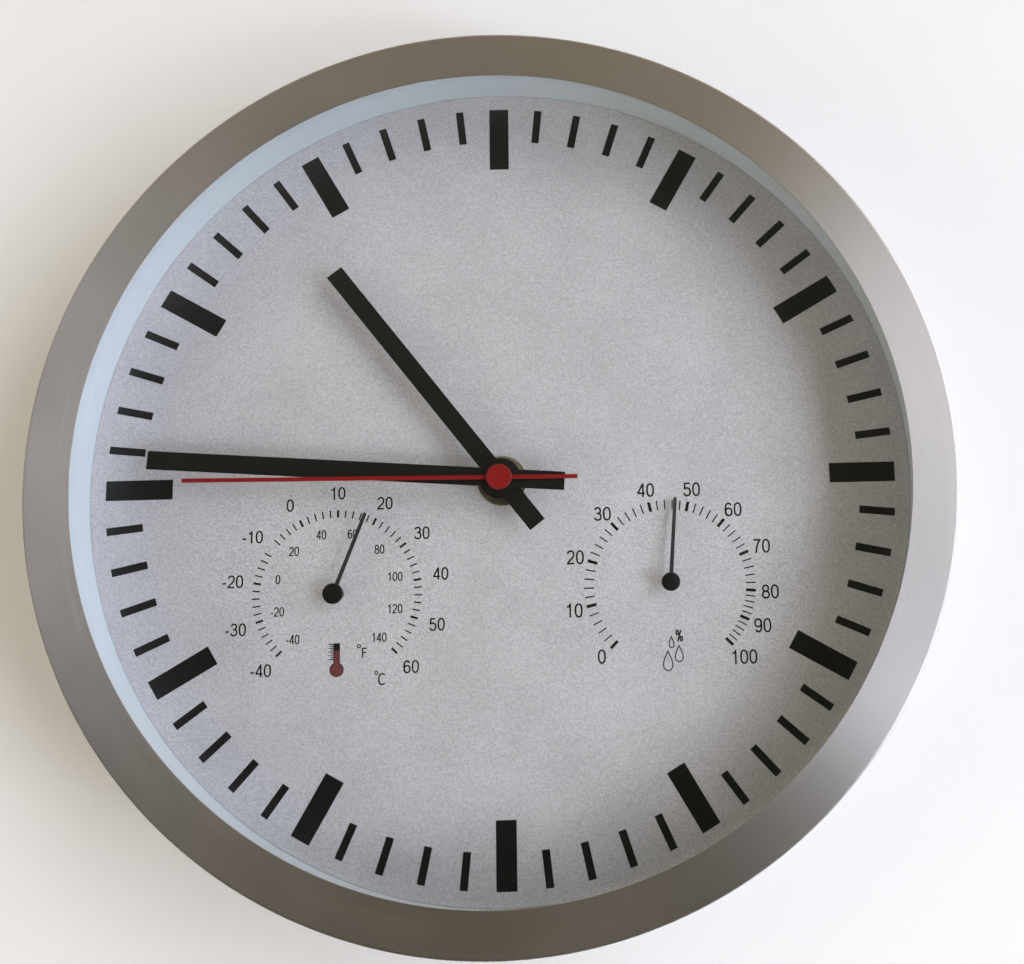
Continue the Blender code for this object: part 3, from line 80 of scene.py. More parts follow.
# How finely pieces are turned, and what counts as one point or one flat
FINE_SIDES = 240
WASHER_SIDES = 128
CAP_SIDES = 96
HUB_SIDES = 72
SMALL_SIDES = 64
BUTTON_SIDES = 48
SCREW_SIDES = 32
ARC_STEPS = 5
WELD = 0.000001
FLAT_ANGLE = math.radians(0.5)
SHARP_ANGLE = math.radians(38)
DRAWING_SCALE = 1000


def heights(node):
    """Distances from the wall at which a node starts and ends."""
    low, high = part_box(node)
    return -high.y, -low.y


def mid_depth(node):
    """How far a node's middle is from the wall."""
    low, high = heights(node)
    return (low + high) / 2


def half_span(node):
    """Half of a node's width."""
    low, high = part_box(node)
    return (high.x - low.x) / 2


DIAL_RISE = (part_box("case_rim")[0].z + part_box("case_rim")[1].z) / 2
UPRIGHT = Matrix.Rotation(math.radians(90), 4, "X")
LYING = Matrix.Rotation(math.pi / 2, 4, "Y")
CLOCK = Matrix.Translation((0, 0, DIAL_RISE)) @ UPRIGHT
# The wall screw's place, seen from the dial's centre
HANG_RISE = -DIAL_RISE


def middle(node):
    """The middle of a node seen from the front, from the dial's centre."""
    low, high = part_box(node)
    return Vector(((low.x + high.x) / 2, (low.z + high.z) / 2 - DIAL_RISE))


def radii(node, centre=(0, 0)):
    """The least and the greatest distance of a node's corners from an axis square to the dial."""
    corners = [vertex.co for vertex in frame["nodes"][node].data.vertices]
    reach = [math.hypot(co.x - centre[0], co.z - DIAL_RISE - centre[1]) for co in corners]
    return min(reach), max(reach)


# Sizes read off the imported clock
LIP_RADIUS, CASE_RADIUS = radii("case_rim")
CASE_DEPTH = heights("case_rim")[1]
DIAL_BACK, DIAL_FACE = heights("dial_plate")
DIAL_RADIUS = radii("dial_plate")[1]
THERMOMETER = middle("thermometer_cup")
HYGROMETER = middle("hygrometer_cup")


def mm(value):
    """A length in millimetres."""
    return value / DRAWING_SCALE


class WallClockSizes(bpy.types.PropertyGroup):
    """Sizes of the dial print and of the small roundings."""

    ink: FloatProperty(
        name="Ink thickness", description="How far the print stands proud of the dial",
        default=mm(0.05), unit="LENGTH")
    mark_reach: FloatProperty(
        name="Mark reach", description="Outer radius of the minute and hour marks",
        default=mm(158.9), unit="LENGTH")
    minute_mark_start: FloatProperty(
        name="Minute mark start", description="Inner radius of the minute marks",
        default=mm(144.5), unit="LENGTH")
    minute_mark_width: FloatProperty(
        name="Minute mark width", description="Width of the minute marks",
        default=mm(3.1), unit="LENGTH")
    hour_mark_start: FloatProperty(
        name="Hour mark start", description="Inner radius of the hour marks",
        default=mm(132.3), unit="LENGTH")
    hour_mark_width: FloatProperty(
        name="Hour mark width", description="Width of the hour marks",
        default=mm(8.0), unit="LENGTH")
    band_rounding: FloatProperty(
        name="Rim rounding", description="Rounding between the rim's side and its band",
        default=mm(1.1), unit="LENGTH")
    lip_rounding: FloatProperty(
        name="Lip rounding", description="Rounding of the lip over the glass",
        default=mm(0.1), unit="LENGTH")
    thread_pitch: FloatProperty(
        name="Thread pitch", description="Pitch of the brass bush's thread",
        default=mm(0.75), unit="LENGTH")


class WallClockColours(bpy.types.PropertyGroup):
    """Colours of the finishes that show most, as linear red, green and blue."""

    rim: FloatVectorProperty(
        name="Rim", description="Brushed aluminium of the rim", subtype="COLOR",
        min=0, max=1, default=(0.60, 0.565, 0.52))
    ring: FloatVectorProperty(
        name="Inner ring", description="White moulded ring between rim and dial", subtype="COLOR",
        min=0, max=1, default=(0.57, 0.62, 0.66))
    dial: FloatVectorProperty(
        name="Dial", description="Silver paint of the dial", subtype="COLOR",
        min=0, max=1, default=(0.56, 0.537, 0.553))
    ink: FloatVectorProperty(
        name="Ink", description="Black print on the dial", subtype="COLOR",
        min=0, max=1, default=(0.0058, 0.0052, 0.0044))
    hands: FloatVectorProperty(
        name="Hands", description="Black paint of the hands and pointers", subtype="COLOR",
        min=0, max=1, default=(0.006, 0.005, 0.004))
    red: FloatVectorProperty(
        name="Red", description="Red paint of the second hand and its cap", subtype="COLOR",
        min=0, max=1, default=(0.225, 0.0045, 0.0045))
    brass: FloatVectorProperty(
        name="Brass", description="Washer, nut and bush on the dial", subtype="COLOR",
        min=0, max=1, default=(0.78, 0.70, 0.54))


class WallClockStage(bpy.types.PropertyGroup):
    """Lamps, backdrop and camera."""

    window_power: FloatProperty(
        name="Window", description="Power of the soft lamp at the right", default=86.0, unit="POWER")
    sill_power: FloatProperty(
        name="Sill", description="Power of the soft lamp at the lower right", default=12.5, unit="POWER")
    left_power: FloatProperty(
        name="Left fill", description="Power of the soft lamp at the left", default=5.4, unit="POWER")
    rear_power: FloatProperty(
        name="Rear", description="Power of each lamp behind the wall", default=5.0, unit="POWER")
    backdrop: FloatVectorProperty(
        name="Backdrop", description="Colour of the wall and the floor", subtype="COLOR",
        min=0, max=1, default=(0.76, 0.755, 0.74))
    sky: FloatVectorProperty(
        name="Room above", description="Light from the upper half of the room", subtype="COLOR",
        min=0, max=1, default=(0.57, 0.505, 0.38))
    ground: FloatVectorProperty(
        name="Room below", description="Light from the lower half of the room", subtype="COLOR",
        min=0, max=1, default=(0.050, 0.043, 0.034))
    lens: FloatProperty(
        name="Lens", description="Focal length of the camera in millimetres", default=36.594)


# Materials


def add(tree, kind, inputs=(), **settings):
    """Add a node, set it up, and feed its inputs with plain values or with other nodes' sockets."""
    made = tree.nodes.new("ShaderNode" + kind)
    for key, value in settings.items():
        setattr(made, key, value)
    for key, value in dict(inputs).items():
        if isinstance(value, bpy.types.NodeSocket):
            tree.links.new(value, made.inputs[key])
        else:
            made.inputs[key].default_value = value
    return made


def blank(group, name):
    """A new material or world with its empty node tree."""
    made = group.new(name)
    made.use_nodes = True
    made.node_tree.nodes.clear()
    return made, made.node_tree


def maths(tree, operation, *values):
    """One sum on plain values or other nodes' sockets."""
    return add(tree, "Math", enumerate(values), operation=operation).outputs[0]


def vectors(tree, operation, *values):
    """One sum on vectors, which gives a length, a share or another vector."""
    made = add(tree, "VectorMath", enumerate(values), operation=operation)
    return made.outputs["Value" if operation in ("LENGTH", "DOT_PRODUCT") else "Vector"]


def between_shaders(tree, share, first, second):
    """Mix two shaders by a share and send them to the surface."""
    mixed = add(tree, "MixShader", {0: share, 1: first.outputs[0], 2: second.outputs[0]})
    add(tree, "OutputMaterial", {"Surface": mixed.outputs[0]})


def ranged(tree, value, before=(0.0, 1.0), after=(0.0, 1.0)):
    """Map one range of values onto another, and hold its ends."""
    inputs = {"Value": value, "From Min": before[0], "From Max": before[1],
              "To Min": after[0], "To Max": after[1]}
    return add(tree, "MapRange", inputs, clamp=True).outputs["Result"]


# The part of a noise's range that most of its values lie in
NOISE_MIDDLE = (0.3, 0.7)


def spread(tree, value, low, high):
    """Map the middle of a noise onto a range."""
    return ranged(tree, value, NOISE_MIDDLE, (low, high))


def tinted(tree, factor, first, second):
    """A mix of two colours."""
    step = add(tree, "Mix", {0: factor, 6: (*first, 1), 7: (*second, 1)}, data_type="RGBA")
    return step.outputs[2]


def ringwise(tree, across, along):
    """Coordinates that run quickly across the turning marks of a round piece and slowly along them."""
    spot = add(tree, "TexCoord").outputs["Object"]
    x, y, z = add(tree, "SeparateXYZ", {0: spot}).outputs
    level = add(tree, "CombineXYZ", {0: x, 1: y}).outputs[0]
    outwards = maths(tree, "ADD", vectors(tree, "LENGTH", level), z)
    fast = maths(tree, "MULTIPLY", outwards, 1 / across)
    slow = vectors(tree, "MULTIPLY", vectors(tree, "NORMALIZE", level), (along, along, along))
    lift = add(tree, "CombineXYZ", {2: fast}).outputs[0]
    return vectors(tree, "ADD", slow, lift)


# How often a turned surface changes along its turning marks
RING_CHANGES = 2.2


def grain(tree, kind, size):
    """The fine pattern of a surface, from 0 to 1: cloud, rings, cells or windings of about that size."""
    if kind == "rings":
        vector = ringwise(tree, size, RING_CHANGES)
        return add(tree, "TexNoise", {"Vector": vector, "Scale": 1.0, "Detail": 4.0}).outputs["Fac"]
    spot = add(tree, "TexCoord").outputs["Object"]
    if kind == "cells":
        cells = add(tree, "TexVoronoi", {"Vector": spot, "Scale": 1 / size})
        return add(tree, "SeparateColor", {0: cells.outputs["Color"]}).outputs[0]
    if kind == "windings":
        waves = add(tree, "TexWave", {"Vector": spot, "Scale": 1 / size / math.tau, "Distortion": 0.4,
                                      "Detail": 1.0}, bands_direction="X")
        return waves.outputs["Fac"]
    return add(tree, "TexNoise", {"Vector": spot, "Scale": 1 / size, "Detail": 5.0}).outputs["Fac"]


def surface(name, colour, roughness, metallic, kind, size, relief, mottling, patch=mm(20), wear=0.06,
            shader=()):
    """A material whose colour, gloss and relief follow a fine grain and a coarse mottling."""
    made, tree = blank(bpy.data.materials, name)
    fine = grain(tree, kind, size)
    spot = add(tree, "TexCoord").outputs["Object"]
    coarse = add(tree, "TexNoise", {"Vector": spot, "Scale": 1 / patch, "Detail": 3.0}).outputs["Fac"]
    even = maths(tree, "MULTIPLY", maths(tree, "ADD", fine, coarse), 0.5)
    dark = [channel * (1 - mottling) for channel in colour]
    light = [min(channel * (1 + mottling), 1.0) for channel in colour]
    inputs = {"Base Color": tinted(tree, spread(tree, even, 0.0, 1.0), dark, light),
              "Roughness": spread(tree, even, roughness - wear, roughness + wear),
              "Metallic": metallic, **dict(shader)}
    if relief:
        bump = add(tree, "Bump", {"Strength": 1.0, "Distance": relief, "Height": fine})
        inputs["Normal"] = bump.outputs[0]
    shaded = add(tree, "BsdfPrincipled", inputs)
    add(tree, "OutputMaterial", {"Surface": shaded.outputs[0]})
    return made


# Rows of the rim and the floor: roughness, metallic, kind of grain, its size, relief, mottling, patch, wear
RIM_FINISH = (0.50, 1.0, "rings", mm(0.22), mm(0.006), 0.10, mm(60), 0.05)
FLOOR_FINISH = (0.8, 0.0, "cloud", mm(20), 0.0, 0.01, 0.5, 0.02)
RIM_SHINE = {"Anisotropic": 0.75, "Anisotropic Rotation": 0.25}


def brushed_rim(colour):
    """Aluminium brushed round the rim, which draws its highlights out across the brush marks."""
    made = surface("brushed_aluminium", colour, *RIM_FINISH, RIM_SHINE)
    tree = made.node_tree
    tangent = add(tree, "Tangent", direction_type="RADIAL", axis="Z")
    tree.links.new(tangent.outputs[0], tree.nodes["Principled BSDF"].inputs["Tangent"])
    return made


GLASS_MIRROR_SHARE = 0.04
GLASS_STEEPNESS = 5.0
GLASS_ROUGHNESS = (0.01, 0.03)
GLASS_SMEAR_SIZE = mm(45)
MIRROR_COLOUR = (0.96, 0.98, 1.0, 1)
CLEAR_COLOUR = (0.985, 0.995, 0.99, 1)


def clear_glass():
    """Thin flat glass: it mirrors by its angle and lets the rest straight through."""
    made, tree = blank(bpy.data.materials, "clear_glass")
    smear = spread(tree, grain(tree, "cloud", GLASS_SMEAR_SIZE), *GLASS_ROUGHNESS)
    mirror = add(tree, "BsdfGlossy", {"Color": MIRROR_COLOUR, "Roughness": smear})
    through = add(tree, "BsdfTransparent", {"Color": CLEAR_COLOUR})
    slant = add(tree, "LayerWeight", {"Blend": 0.5}).outputs["Facing"]
    steep = maths(tree, "POWER", slant, GLASS_STEEPNESS)
    between_shaders(tree, ranged(tree, steep, after=(GLASS_MIRROR_SHARE, 1.0)), through, mirror)
    return made


# Colour, roughness, metallic, kind of grain, its size, relief, mottling
PLAIN_FINISHES = {
    "back_board": ((0.115, 0.115, 0.12), 0.62, 0.0, "cloud", mm(0.5), mm(0.03), 0.10),
    "steel": ((0.56, 0.57, 0.58), 0.36, 1.0, "cloud", mm(0.8), mm(0.003), 0.08),
    "foam": ((0.018, 0.018, 0.018), 0.92, 0.0, "cells", mm(0.35), mm(0.06), 0.30),
    "movement_plastic": ((0.016, 0.016, 0.017), 0.50, 0.0, "cloud", mm(0.22), mm(0.012), 0.15),
    "ferrite": ((0.045, 0.045, 0.05), 0.60, 0.0, "cells", mm(0.3), mm(0.006), 0.15),
    "gear_plastic": ((0.68, 0.66, 0.58), 0.40, 0.0, "rings", mm(0.15), mm(0.003), 0.04),
    "yellow_gear": ((0.66, 0.47, 0.08), 0.40, 0.0, "rings", mm(0.15), mm(0.003), 0.05),
    "red_button": ((0.48, 0.02, 0.025), 0.40, 0.0, "cloud", mm(0.2), mm(0.004), 0.05),
    "white_button": ((0.68, 0.66, 0.60), 0.42, 0.0, "cloud", mm(0.2), mm(0.004), 0.04),
    "battery_wrap": ((0.62, 0.63, 0.62), 0.30, 0.1, "cloud", mm(0.5), mm(0.003), 0.03),
    "rubber": ((0.02, 0.02, 0.02), 0.85, 0.0, "cloud", mm(0.3), mm(0.01), 0.12),
    "instrument_plastic": ((0.17, 0.175, 0.18), 0.52, 0.0, "cloud", mm(0.25), mm(0.008), 0.06),
    "bimetal": ((0.50, 0.37, 0.23), 0.34, 1.0, "cloud", mm(0.7), mm(0.003), 0.10),
    "copper_wire": ((0.50, 0.17, 0.06), 0.34, 0.9, "windings", mm(0.16), mm(0.05), 0.20),
    "red_ink": ((0.15, 0.03, 0.03), 0.50, 0.0, "cloud", mm(0.35), mm(0.004), 0.10),
    "battery_band": ((0.03, 0.10, 0.22), 0.30, 0.1, "cloud", mm(0.5), mm(0.003), 0.05),
}
# The same after a material's name, some with the size of their patches and their wear.
# A word stands for the colour of that name in the settings
NAMED_FINISHES = {
    "white_ring": ("white_moulding", "ring", 0.34, 0.0, "cloud", mm(0.5), mm(0.004), 0.02, mm(40), 0.04),
    "dial": ("silver_dial_paint", "dial", 0.46, 0.10, "cells", mm(0.45), mm(0.006), 0.15, mm(35), 0.06),
    "ink": ("black_ink", "ink", 0.34, 0.0, "cloud", mm(0.35), mm(0.004), 0.18),
    "black_hand": ("black_hand_paint", "hands", 0.36, 0.0, "cloud", mm(0.25), mm(0.006), 0.14),
    "red_hand": ("red_hand_paint", "red", 0.34, 0.0, "cloud", mm(0.4), mm(0.005), 0.07),
    "brass": ("turned_brass", "brass", 0.34, 1.0, "rings", mm(0.12), mm(0.004), 0.08),
    "blue_ink": ("blue_grey_ink", (0.026, 0.042, 0.052), 0.50, 0.0, "cloud", mm(0.35), mm(0.004), 0.12),
    "needle": ("needle_paint", (0.026, 0.023, 0.021), 0.50, 0.0, "cloud", mm(0.25), mm(0.004), 0.12),
    "board": ("circuit_board_green", (0.03, 0.15, 0.065), 0.42, 0.0, "cells", mm(1.6), mm(0.01), 0.25,
              mm(9), 0.05),
}
FINISHES = {}


def make_finishes(colours):
    """Every finish of the clock by its slot's name."""
    FINISHES["rim_metal"] = brushed_rim(colours.rim)
    FINISHES["lens_glass"] = clear_glass()
    for slot_name, (name, colour, *row) in NAMED_FINISHES.items():
        if isinstance(colour, str):
            colour = getattr(colours, colour)
        FINISHES[slot_name] = surface(name, colour, *row)
    for slot_name, row in PLAIN_FINISHES.items():
        FINISHES[slot_name] = surface(slot_name, *row)


# Shapes


def soften(corners, steps=ARC_STEPS):
    """A closed outline whose corners (x, y, rounding) become small arcs."""
    points = []
    for i, (x, y, rounding) in enumerate(corners):
        here = Vector((x, y))
        if not rounding:
            points.append((x, y))
            continue
        before = (Vector(corners[i - 1][:2]) - here).normalized()
        after = (Vector(corners[(i + 1) % len(corners)][:2]) - here).normalized()
        half = before.angle(after) / 2
        centre = here + (before + after).normalized() * rounding / math.sin(half)
        start = here + before * rounding / math.tan(half) - centre
        end = here + after * rounding / math.tan(half) - centre
        first = math.atan2(start.y, start.x)
        sweep = (math.atan2(end.y, end.x) - first + math.pi) % math.tau - math.pi
        points += arc(rounding, first, first + sweep, steps, centre)
    return points


def arc(radius, start, end, steps, centre=(0, 0)):
    """Points along an arc, both ends included."""
    angles = [start + (end - start) * i / steps for i in range(steps + 1)]
    return [(centre[0] + radius * math.cos(a), centre[1] + radius * math.sin(a)) for a in angles]


def circle(radius, centre=(0, 0), sides=SMALL_SIDES):
    """The corner points of a round outline."""
    return arc(radius, 0, math.tau, sides, centre)[:-1]


def linked(name, data):
    """A new object in the scene."""
    obj = bpy.data.objects.new(name, data)
    bpy.context.scene.collection.objects.link(obj)
    return obj


def finished_mesh(obj):
    """An object's mesh with its outlines filled or its modifiers applied."""
    bpy.context.view_layer.update()
    graph = bpy.context.evaluated_depsgraph_get()
    return bpy.data.meshes.new_from_object(obj.evaluated_get(graph))


def merge_flats(build, distance):
    """Weld a mesh's corners and join the faces that lie in one plane."""
    bmesh.ops.remove_doubles(build, verts=build.verts, dist=distance)
    bmesh.ops.dissolve_limit(build, angle_limit=FLAT_ANGLE, verts=build.verts, edges=build.edges)


def skin(build, rings):
    """Faces from one closed ring of corners to the next."""
    for here, after in zip(rings, rings[1:]):
        for i in range(len(here)):
            j = (i + 1) % len(here)
            build.faces.new((here[i], here[j], after[j], after[i]))


def mesh_from(build, name):
    """Close a piece's mesh: weld it, turn its faces outwards and shade it smooth up to sharp edges."""
    bmesh.ops.remove_doubles(build, verts=build.verts, dist=WELD)
    bmesh.ops.recalc_face_normals(build, faces=build.faces)
    mesh = bpy.data.meshes.new(name)
    build.to_mesh(mesh)
    build.free()
    mesh.shade_smooth()
    mesh.set_sharp_from_angle(angle=SHARP_ANGLE)
    return mesh


def turned(name, profile, sides=FINE_SIDES, closed=True):
    """A profile of (radius, height) points turned about Z."""
    build = bmesh.new()
    points = [build.verts.new((radius, 0, height)) for radius, height in profile]
    edges = [build.edges.new(pair) for pair in zip(points, points[1:])]
    if closed:
        edges.append(build.edges.new((points[-1], points[0])))
    bmesh.ops.spin(build, geom=points + edges, cent=(0, 0, 0), axis=(0, 0, 1), angle=math.tau,
                   steps=sides, use_merge=True)
    return mesh_from(build, name)


def flat(name, outlines, thickness):
    """A flat piece, its bottom at zero: the first outline is its edge and the others are holes."""
    curve = bpy.data.curves.new(name, "CURVE")
    curve.dimensions = "2D"
    curve.fill_mode = "BOTH"
    curve.extrude = thickness * DRAWING_SCALE / 2
    for outline in outlines:
        spline = curve.splines.new("POLY")
        spline.points.add(len(outline) - 1)
        for point, (x, y) in zip(spline.points, outline):
            point.co = (x * DRAWING_SCALE, y * DRAWING_SCALE, 0, 1)
        spline.use_cyclic_u = True
    drawn = linked(name, curve)
    filled = finished_mesh(drawn)
    bpy.data.objects.remove(drawn)
    bpy.data.curves.remove(curve)
    build = bmesh.new()
    build.from_mesh(filled)
    bpy.data.meshes.remove(filled)
    bmesh.ops.scale(build, verts=build.verts, vec=(1 / DRAWING_SCALE,) * 3)
    bmesh.ops.translate(build, verts=build.verts, vec=(0, 0, thickness / 2))
    merge_flats(build, WELD)
    return mesh_from(build, name)


def place(name, mesh, finish, body, slot_name=None, at=(0, 0), z=0, spin=0, stands_for=(), matrix=None):
    """Put a mesh in the clock as a named piece that rides on a body and wears a finish."""
    obj = linked(name, mesh)
    mesh.materials.clear()
    mesh.materials.append(FINISHES[finish])
    local = Matrix.Translation((at[0], at[1], z)) @ Matrix.Rotation(spin, 4, "Z")
    obj.matrix_world = CLOCK @ (matrix or local)
    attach(obj, body)
    if stands_for:
        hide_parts(*stands_for)
    return obj


def place_turned(name, profile, finish, body, sides=FINE_SIDES, closed=True, **where):
    """Turn a profile and put it in the clock."""
    return place(name, turned(name, profile, sides, closed), finish, body, **where)


def place_flat(name, outlines, thickness, finish, body, **where):
    """Fill outlines and put them in the clock."""
    return place(name, flat(name, outlines, thickness), finish, body, **where)


def even_shading(obj):
    """Let the large faces set the normals, so that flats stay flat beside their roundings."""
    step = obj.modifiers.new("even_shading", "WEIGHTED_NORMAL")
    step.mode = "FACE_AREA"
    step.weight = 100
    step.keep_sharp = True
    return obj


def round_edges(obj, width, segments=2):
    """Round a piece's sharp edges by a small width."""
    for edge in obj.data.edges:
        edge.use_edge_sharp = False
    step = obj.modifiers.new("round_edges", "BEVEL")
    step.width = width
    step.segments = segments
    step.limit_method = "ANGLE"
    step.angle_limit = SHARP_ANGLE
    return even_shading(obj)


def shaped(mesh, tools, operation="DIFFERENCE"):
    """Cut the tool meshes from a mesh, or join them to it, and return the new mesh."""
    target = linked(mesh.name, mesh)
    helpers = []
    for tool in tools:
        helper = linked(tool.name, tool)
        helpers.append(helper)
        step = target.modifiers.new("shape", "BOOLEAN")
        step.operation = operation
        step.solver = "EXACT"
        step.object = helper
    result = finished_mesh(target)
    for obj in helpers + [target]:
        bpy.data.objects.remove(obj)
    build = bmesh.new()
    build.from_mesh(result)
    return mesh_from(build, mesh.name)


def block(name, low, high):
    """A box between two corners."""
    build = bmesh.new()
    bmesh.ops.create_cube(build, size=1)
    size = [b - a for a, b in zip(low, high)]
    bmesh.ops.translate(build, verts=build.verts, vec=(0.5, 0.5, 0.5))
    bmesh.ops.scale(build, verts=build.verts, vec=size)
    bmesh.ops.translate(build, verts=build.verts, vec=low)
    return mesh_from(build, name)


# Printing: lines and filled shapes of ink on the dial


def slab(build, outline, low, high):
    """One filled shape between two heights."""
    bottom = [build.verts.new((x, y, low)) for x, y in outline]
    top = [build.verts.new((x, y, high)) for x, y in outline]
    build.faces.new(top)
    build.faces.new(bottom[::-1])
    for i in range(len(outline)):
        j = (i + 1) % len(outline)
        build.faces.new((bottom[i], bottom[j], top[j], top[i]))


# Cosine from which a sharp corner's mitre grows no longer
SHARPEST_MITRE = 0.5


def line(build, points, width, low, high, closed=False):
    """A line of one width through points, mitred at its corners."""
    count = len(points)
    sides = []
    for i, point in enumerate(points):
        here = Vector(point)
        before = Vector(points[i - 1]) if i or closed else None
        after = Vector(points[(i + 1) % count]) if i + 1 < count or closed else None
        into = (here - before).normalized() if before else (after - here).normalized()
        out = (after - here).normalized() if after else into
        along = (into + out).normalized()
        square = Vector((-along.y, along.x))
        reach = width / 2 / max(square.dot(Vector((-into.y, into.x))), SHARPEST_MITRE)
        sides.append([build.verts.new((*(here + square * reach * side), z)) for side in (1, -1)
                      for z in (low, high)])
    for i in range(count if closed else count - 1):
        a, b = sides[i], sides[(i + 1) % count]
        build.faces.new((a[1], a[3], b[3], b[1]))
        build.faces.new((a[0], b[0], b[2], a[2]))
        build.faces.new((a[0], a[1], b[1], b[0]))
        build.faces.new((a[2], b[2], b[3], a[3]))
    if not closed:
        for end in (sides[0], sides[-1]):
            build.faces.new((end[0], end[2], end[3], end[1]))


def bow(x, y, half_width, half_height, start, end, squareness=2.35, step=12):
    """Points along a slightly squared oval, from one direction to another in degrees."""
    count = max(round(abs(end - start) / step), 2)
    points = []
    for i in range(count + 1):
        angle = math.radians(start + (end - start) * i / count)
        across, up = math.cos(angle), math.sin(angle)
        points.append((x + half_width * math.copysign(abs(across) ** (2 / squareness), across),
                       y + half_height * math.copysign(abs(up) ** (2 / squareness), up)))
    return points


def oval(x, y, half_width, half_height):
    """A closed oval, its last point left to the first."""
    return bow(x, y, half_width, half_height, 0, 360)[:-1]


NUMERAL_WIDTH = 0.56
SIGN_WIDTHS = {"-": 0.34, "%": 0.62, "C": 0.62, "F": 0.50}
SIX_STEM = bow(0.28, 0.5, 0.23, 0.45, 38, 250)
SIX_BOWL = oval(0.28, 0.315, 0.225, 0.265)


def half_turn(points):
    """A stroke turned by half a turn in the numeral's box."""
    return [(NUMERAL_WIDTH - x, 1 - y) for x, y in points]


# Each sign's open strokes and closed strokes, as shares of the numerals' height
SIGN_SHARES = {
    "0": ([], [oval(0.28, 0.5, 0.23, 0.45)]),
    "1": ([[(0.33, 0), (0.33, 1)], [(0.34, 0.95), (0.29, 0.85), (0.21, 0.79), (0.10, 0.77)]], []),
    "2": ([bow(0.275, 0.70, 0.22, 0.25, 172, -28)
           + [(0.38, 0.44), (0.18, 0.25), (0.08, 0.12), (0.05, 0.05), (0.52, 0.05)]], []),
    "3": ([bow(0.265, 0.735, 0.195, 0.215, 168, -90), bow(0.27, 0.29, 0.23, 0.24, 90, -168),
           [(0.20, 0.525), (0.29, 0.525)]], []),
    "4": ([[(0.41, 0), (0.41, 1)], [(0.40, 0.955), (0.035, 0.275)], [(0, 0.27), (0.55, 0.27)]], []),
    "5": ([[(0.49, 0.95), (0.13, 0.95), (0.085, 0.49)], bow(0.265, 0.33, 0.235, 0.28, 138, -165)], []),
    "6": ([SIX_STEM], [SIX_BOWL]),
    "7": ([[(0.04, 0.95), (0.50, 0.95), (0.36, 0.70), (0.26, 0.40), (0.205, 0)]], []),
    "8": ([], [oval(0.28, 0.735, 0.195, 0.215), oval(0.28, 0.285, 0.23, 0.235)]),
    "9": ([half_turn(SIX_STEM)], [half_turn(SIX_BOWL)]),
    "-": ([[(0.03, 0.36), (0.32, 0.36)]], []),
    "%": ([[(0.46, 1), (0.15, 0)]], [oval(0.14, 0.76, 0.095, 0.19), oval(0.47, 0.24, 0.095, 0.19)]),
    "C": ([bow(0.33, 0.5, 0.28, 0.45, 42, 318)], []),
    "F": ([[(0.05, 0), (0.05, 1)], [(0.05, 0.95), (0.48, 0.95)], [(0.05, 0.53), (0.43, 0.53)]], []),
}
SIGN_GAP_SHARE = 0.10
PEN_SHARE = 0.124


def write(build, text, centre, height, low, high, narrowing=1.0):
    """Signs of one height set side by side about a middle point."""
    across = height * narrowing
    widths = [SIGN_WIDTHS.get(sign, NUMERAL_WIDTH) for sign in text]
    left = centre[0] - (sum(widths) + SIGN_GAP_SHARE * (len(text) - 1)) * across / 2
    foot = centre[1] - height / 2
    for sign, width in zip(text, widths):
        for closed, strokes in enumerate(SIGN_SHARES[sign]):
            for stroke in strokes:
                points = [(left + x * across, foot + y * height) for x, y in stroke]
                line(build, points, PEN_SHARE * height, low, high, bool(closed))
        left += (width + SIGN_GAP_SHARE) * across


def on_oval(centre, halves, degrees):
    """The point of an upright oval at degrees from twelve o'clock."""
    angle = math.radians(degrees)
    return (centre[0] + halves[0] * math.sin(angle), centre[1] + halves[1] * math.cos(angle))


def ray(build, centre, start, end, degrees, width, low, high):
    """A straight mark from one radius to another."""
    ends = [on_oval(centre, (radius, radius), degrees) for radius in (start, end)]
    line(build, ends, width, low, high)


PRINT_SLOTS = {"ink": "black_hand", "red_ink": "red_hand", "blue_ink": "dial"}


def printed(name, build, finish):
    """Ink on the dial as a piece of its own."""
    return place(name, mesh_from(build, name), finish, "clock_body", PRINT_SLOTS[finish])


# Thermometer print, about the middle of its printed scale
THERMOMETER_SCALE = (mm(-66.05), mm(-43.7))
THERMOMETER_TICKS = (mm(30.6), mm(33.6))
CELSIUS_CENTRE = (mm(-66.25), mm(-44.0))
CELSIUS_OVAL = (mm(41.75), mm(40.7))
CELSIUS_HEIGHT = mm(4.95)
# Numerals printed above or below their oval, and by how much
CELSIUS_LIFTS = {40: mm(1.1)}
FAHRENHEIT_CENTRE = (mm(-66.4), mm(-43.6))
FAHRENHEIT_OVAL = (mm(24.0), mm(24.6))
FAHRENHEIT_HEIGHT = mm(3.6)
FAHRENHEIT_NARROWING = 0.87
# Widths of the fine and the bold ticks
THERMOMETER_WIDTHS = (mm(0.5), mm(0.85))
BARE_TICK = -10
# Value at twelve o'clock, and degrees of turn for each degree of warmth
CELSIUS_TURN = (10, 2.7)
FAHRENHEIT_TURN = (50, 1.5)

# Hygrometer print
HYGROMETER_SCALE = (mm(66.3), mm(-43.6))
HYGROMETER_TICKS = (mm(30.35), mm(34.3))
PERCENT_CENTRE = (mm(66.55), mm(-43.75))
PERCENT_OVAL = (mm(39.8), mm(39.6))
PERCENT_HEIGHT = mm(5.5)
PERCENT_LIFTS = {0: mm(0.75), 100: mm(-0.85)}
HYGROMETER_WIDTHS = (mm(0.48), mm(1.2))
# Direction of each full ten percent, in degrees from twelve o'clock
PERCENT_DEGREES = (-135, -103, -72, -42, -13, 14, 41, 68, 95, 115, 135)

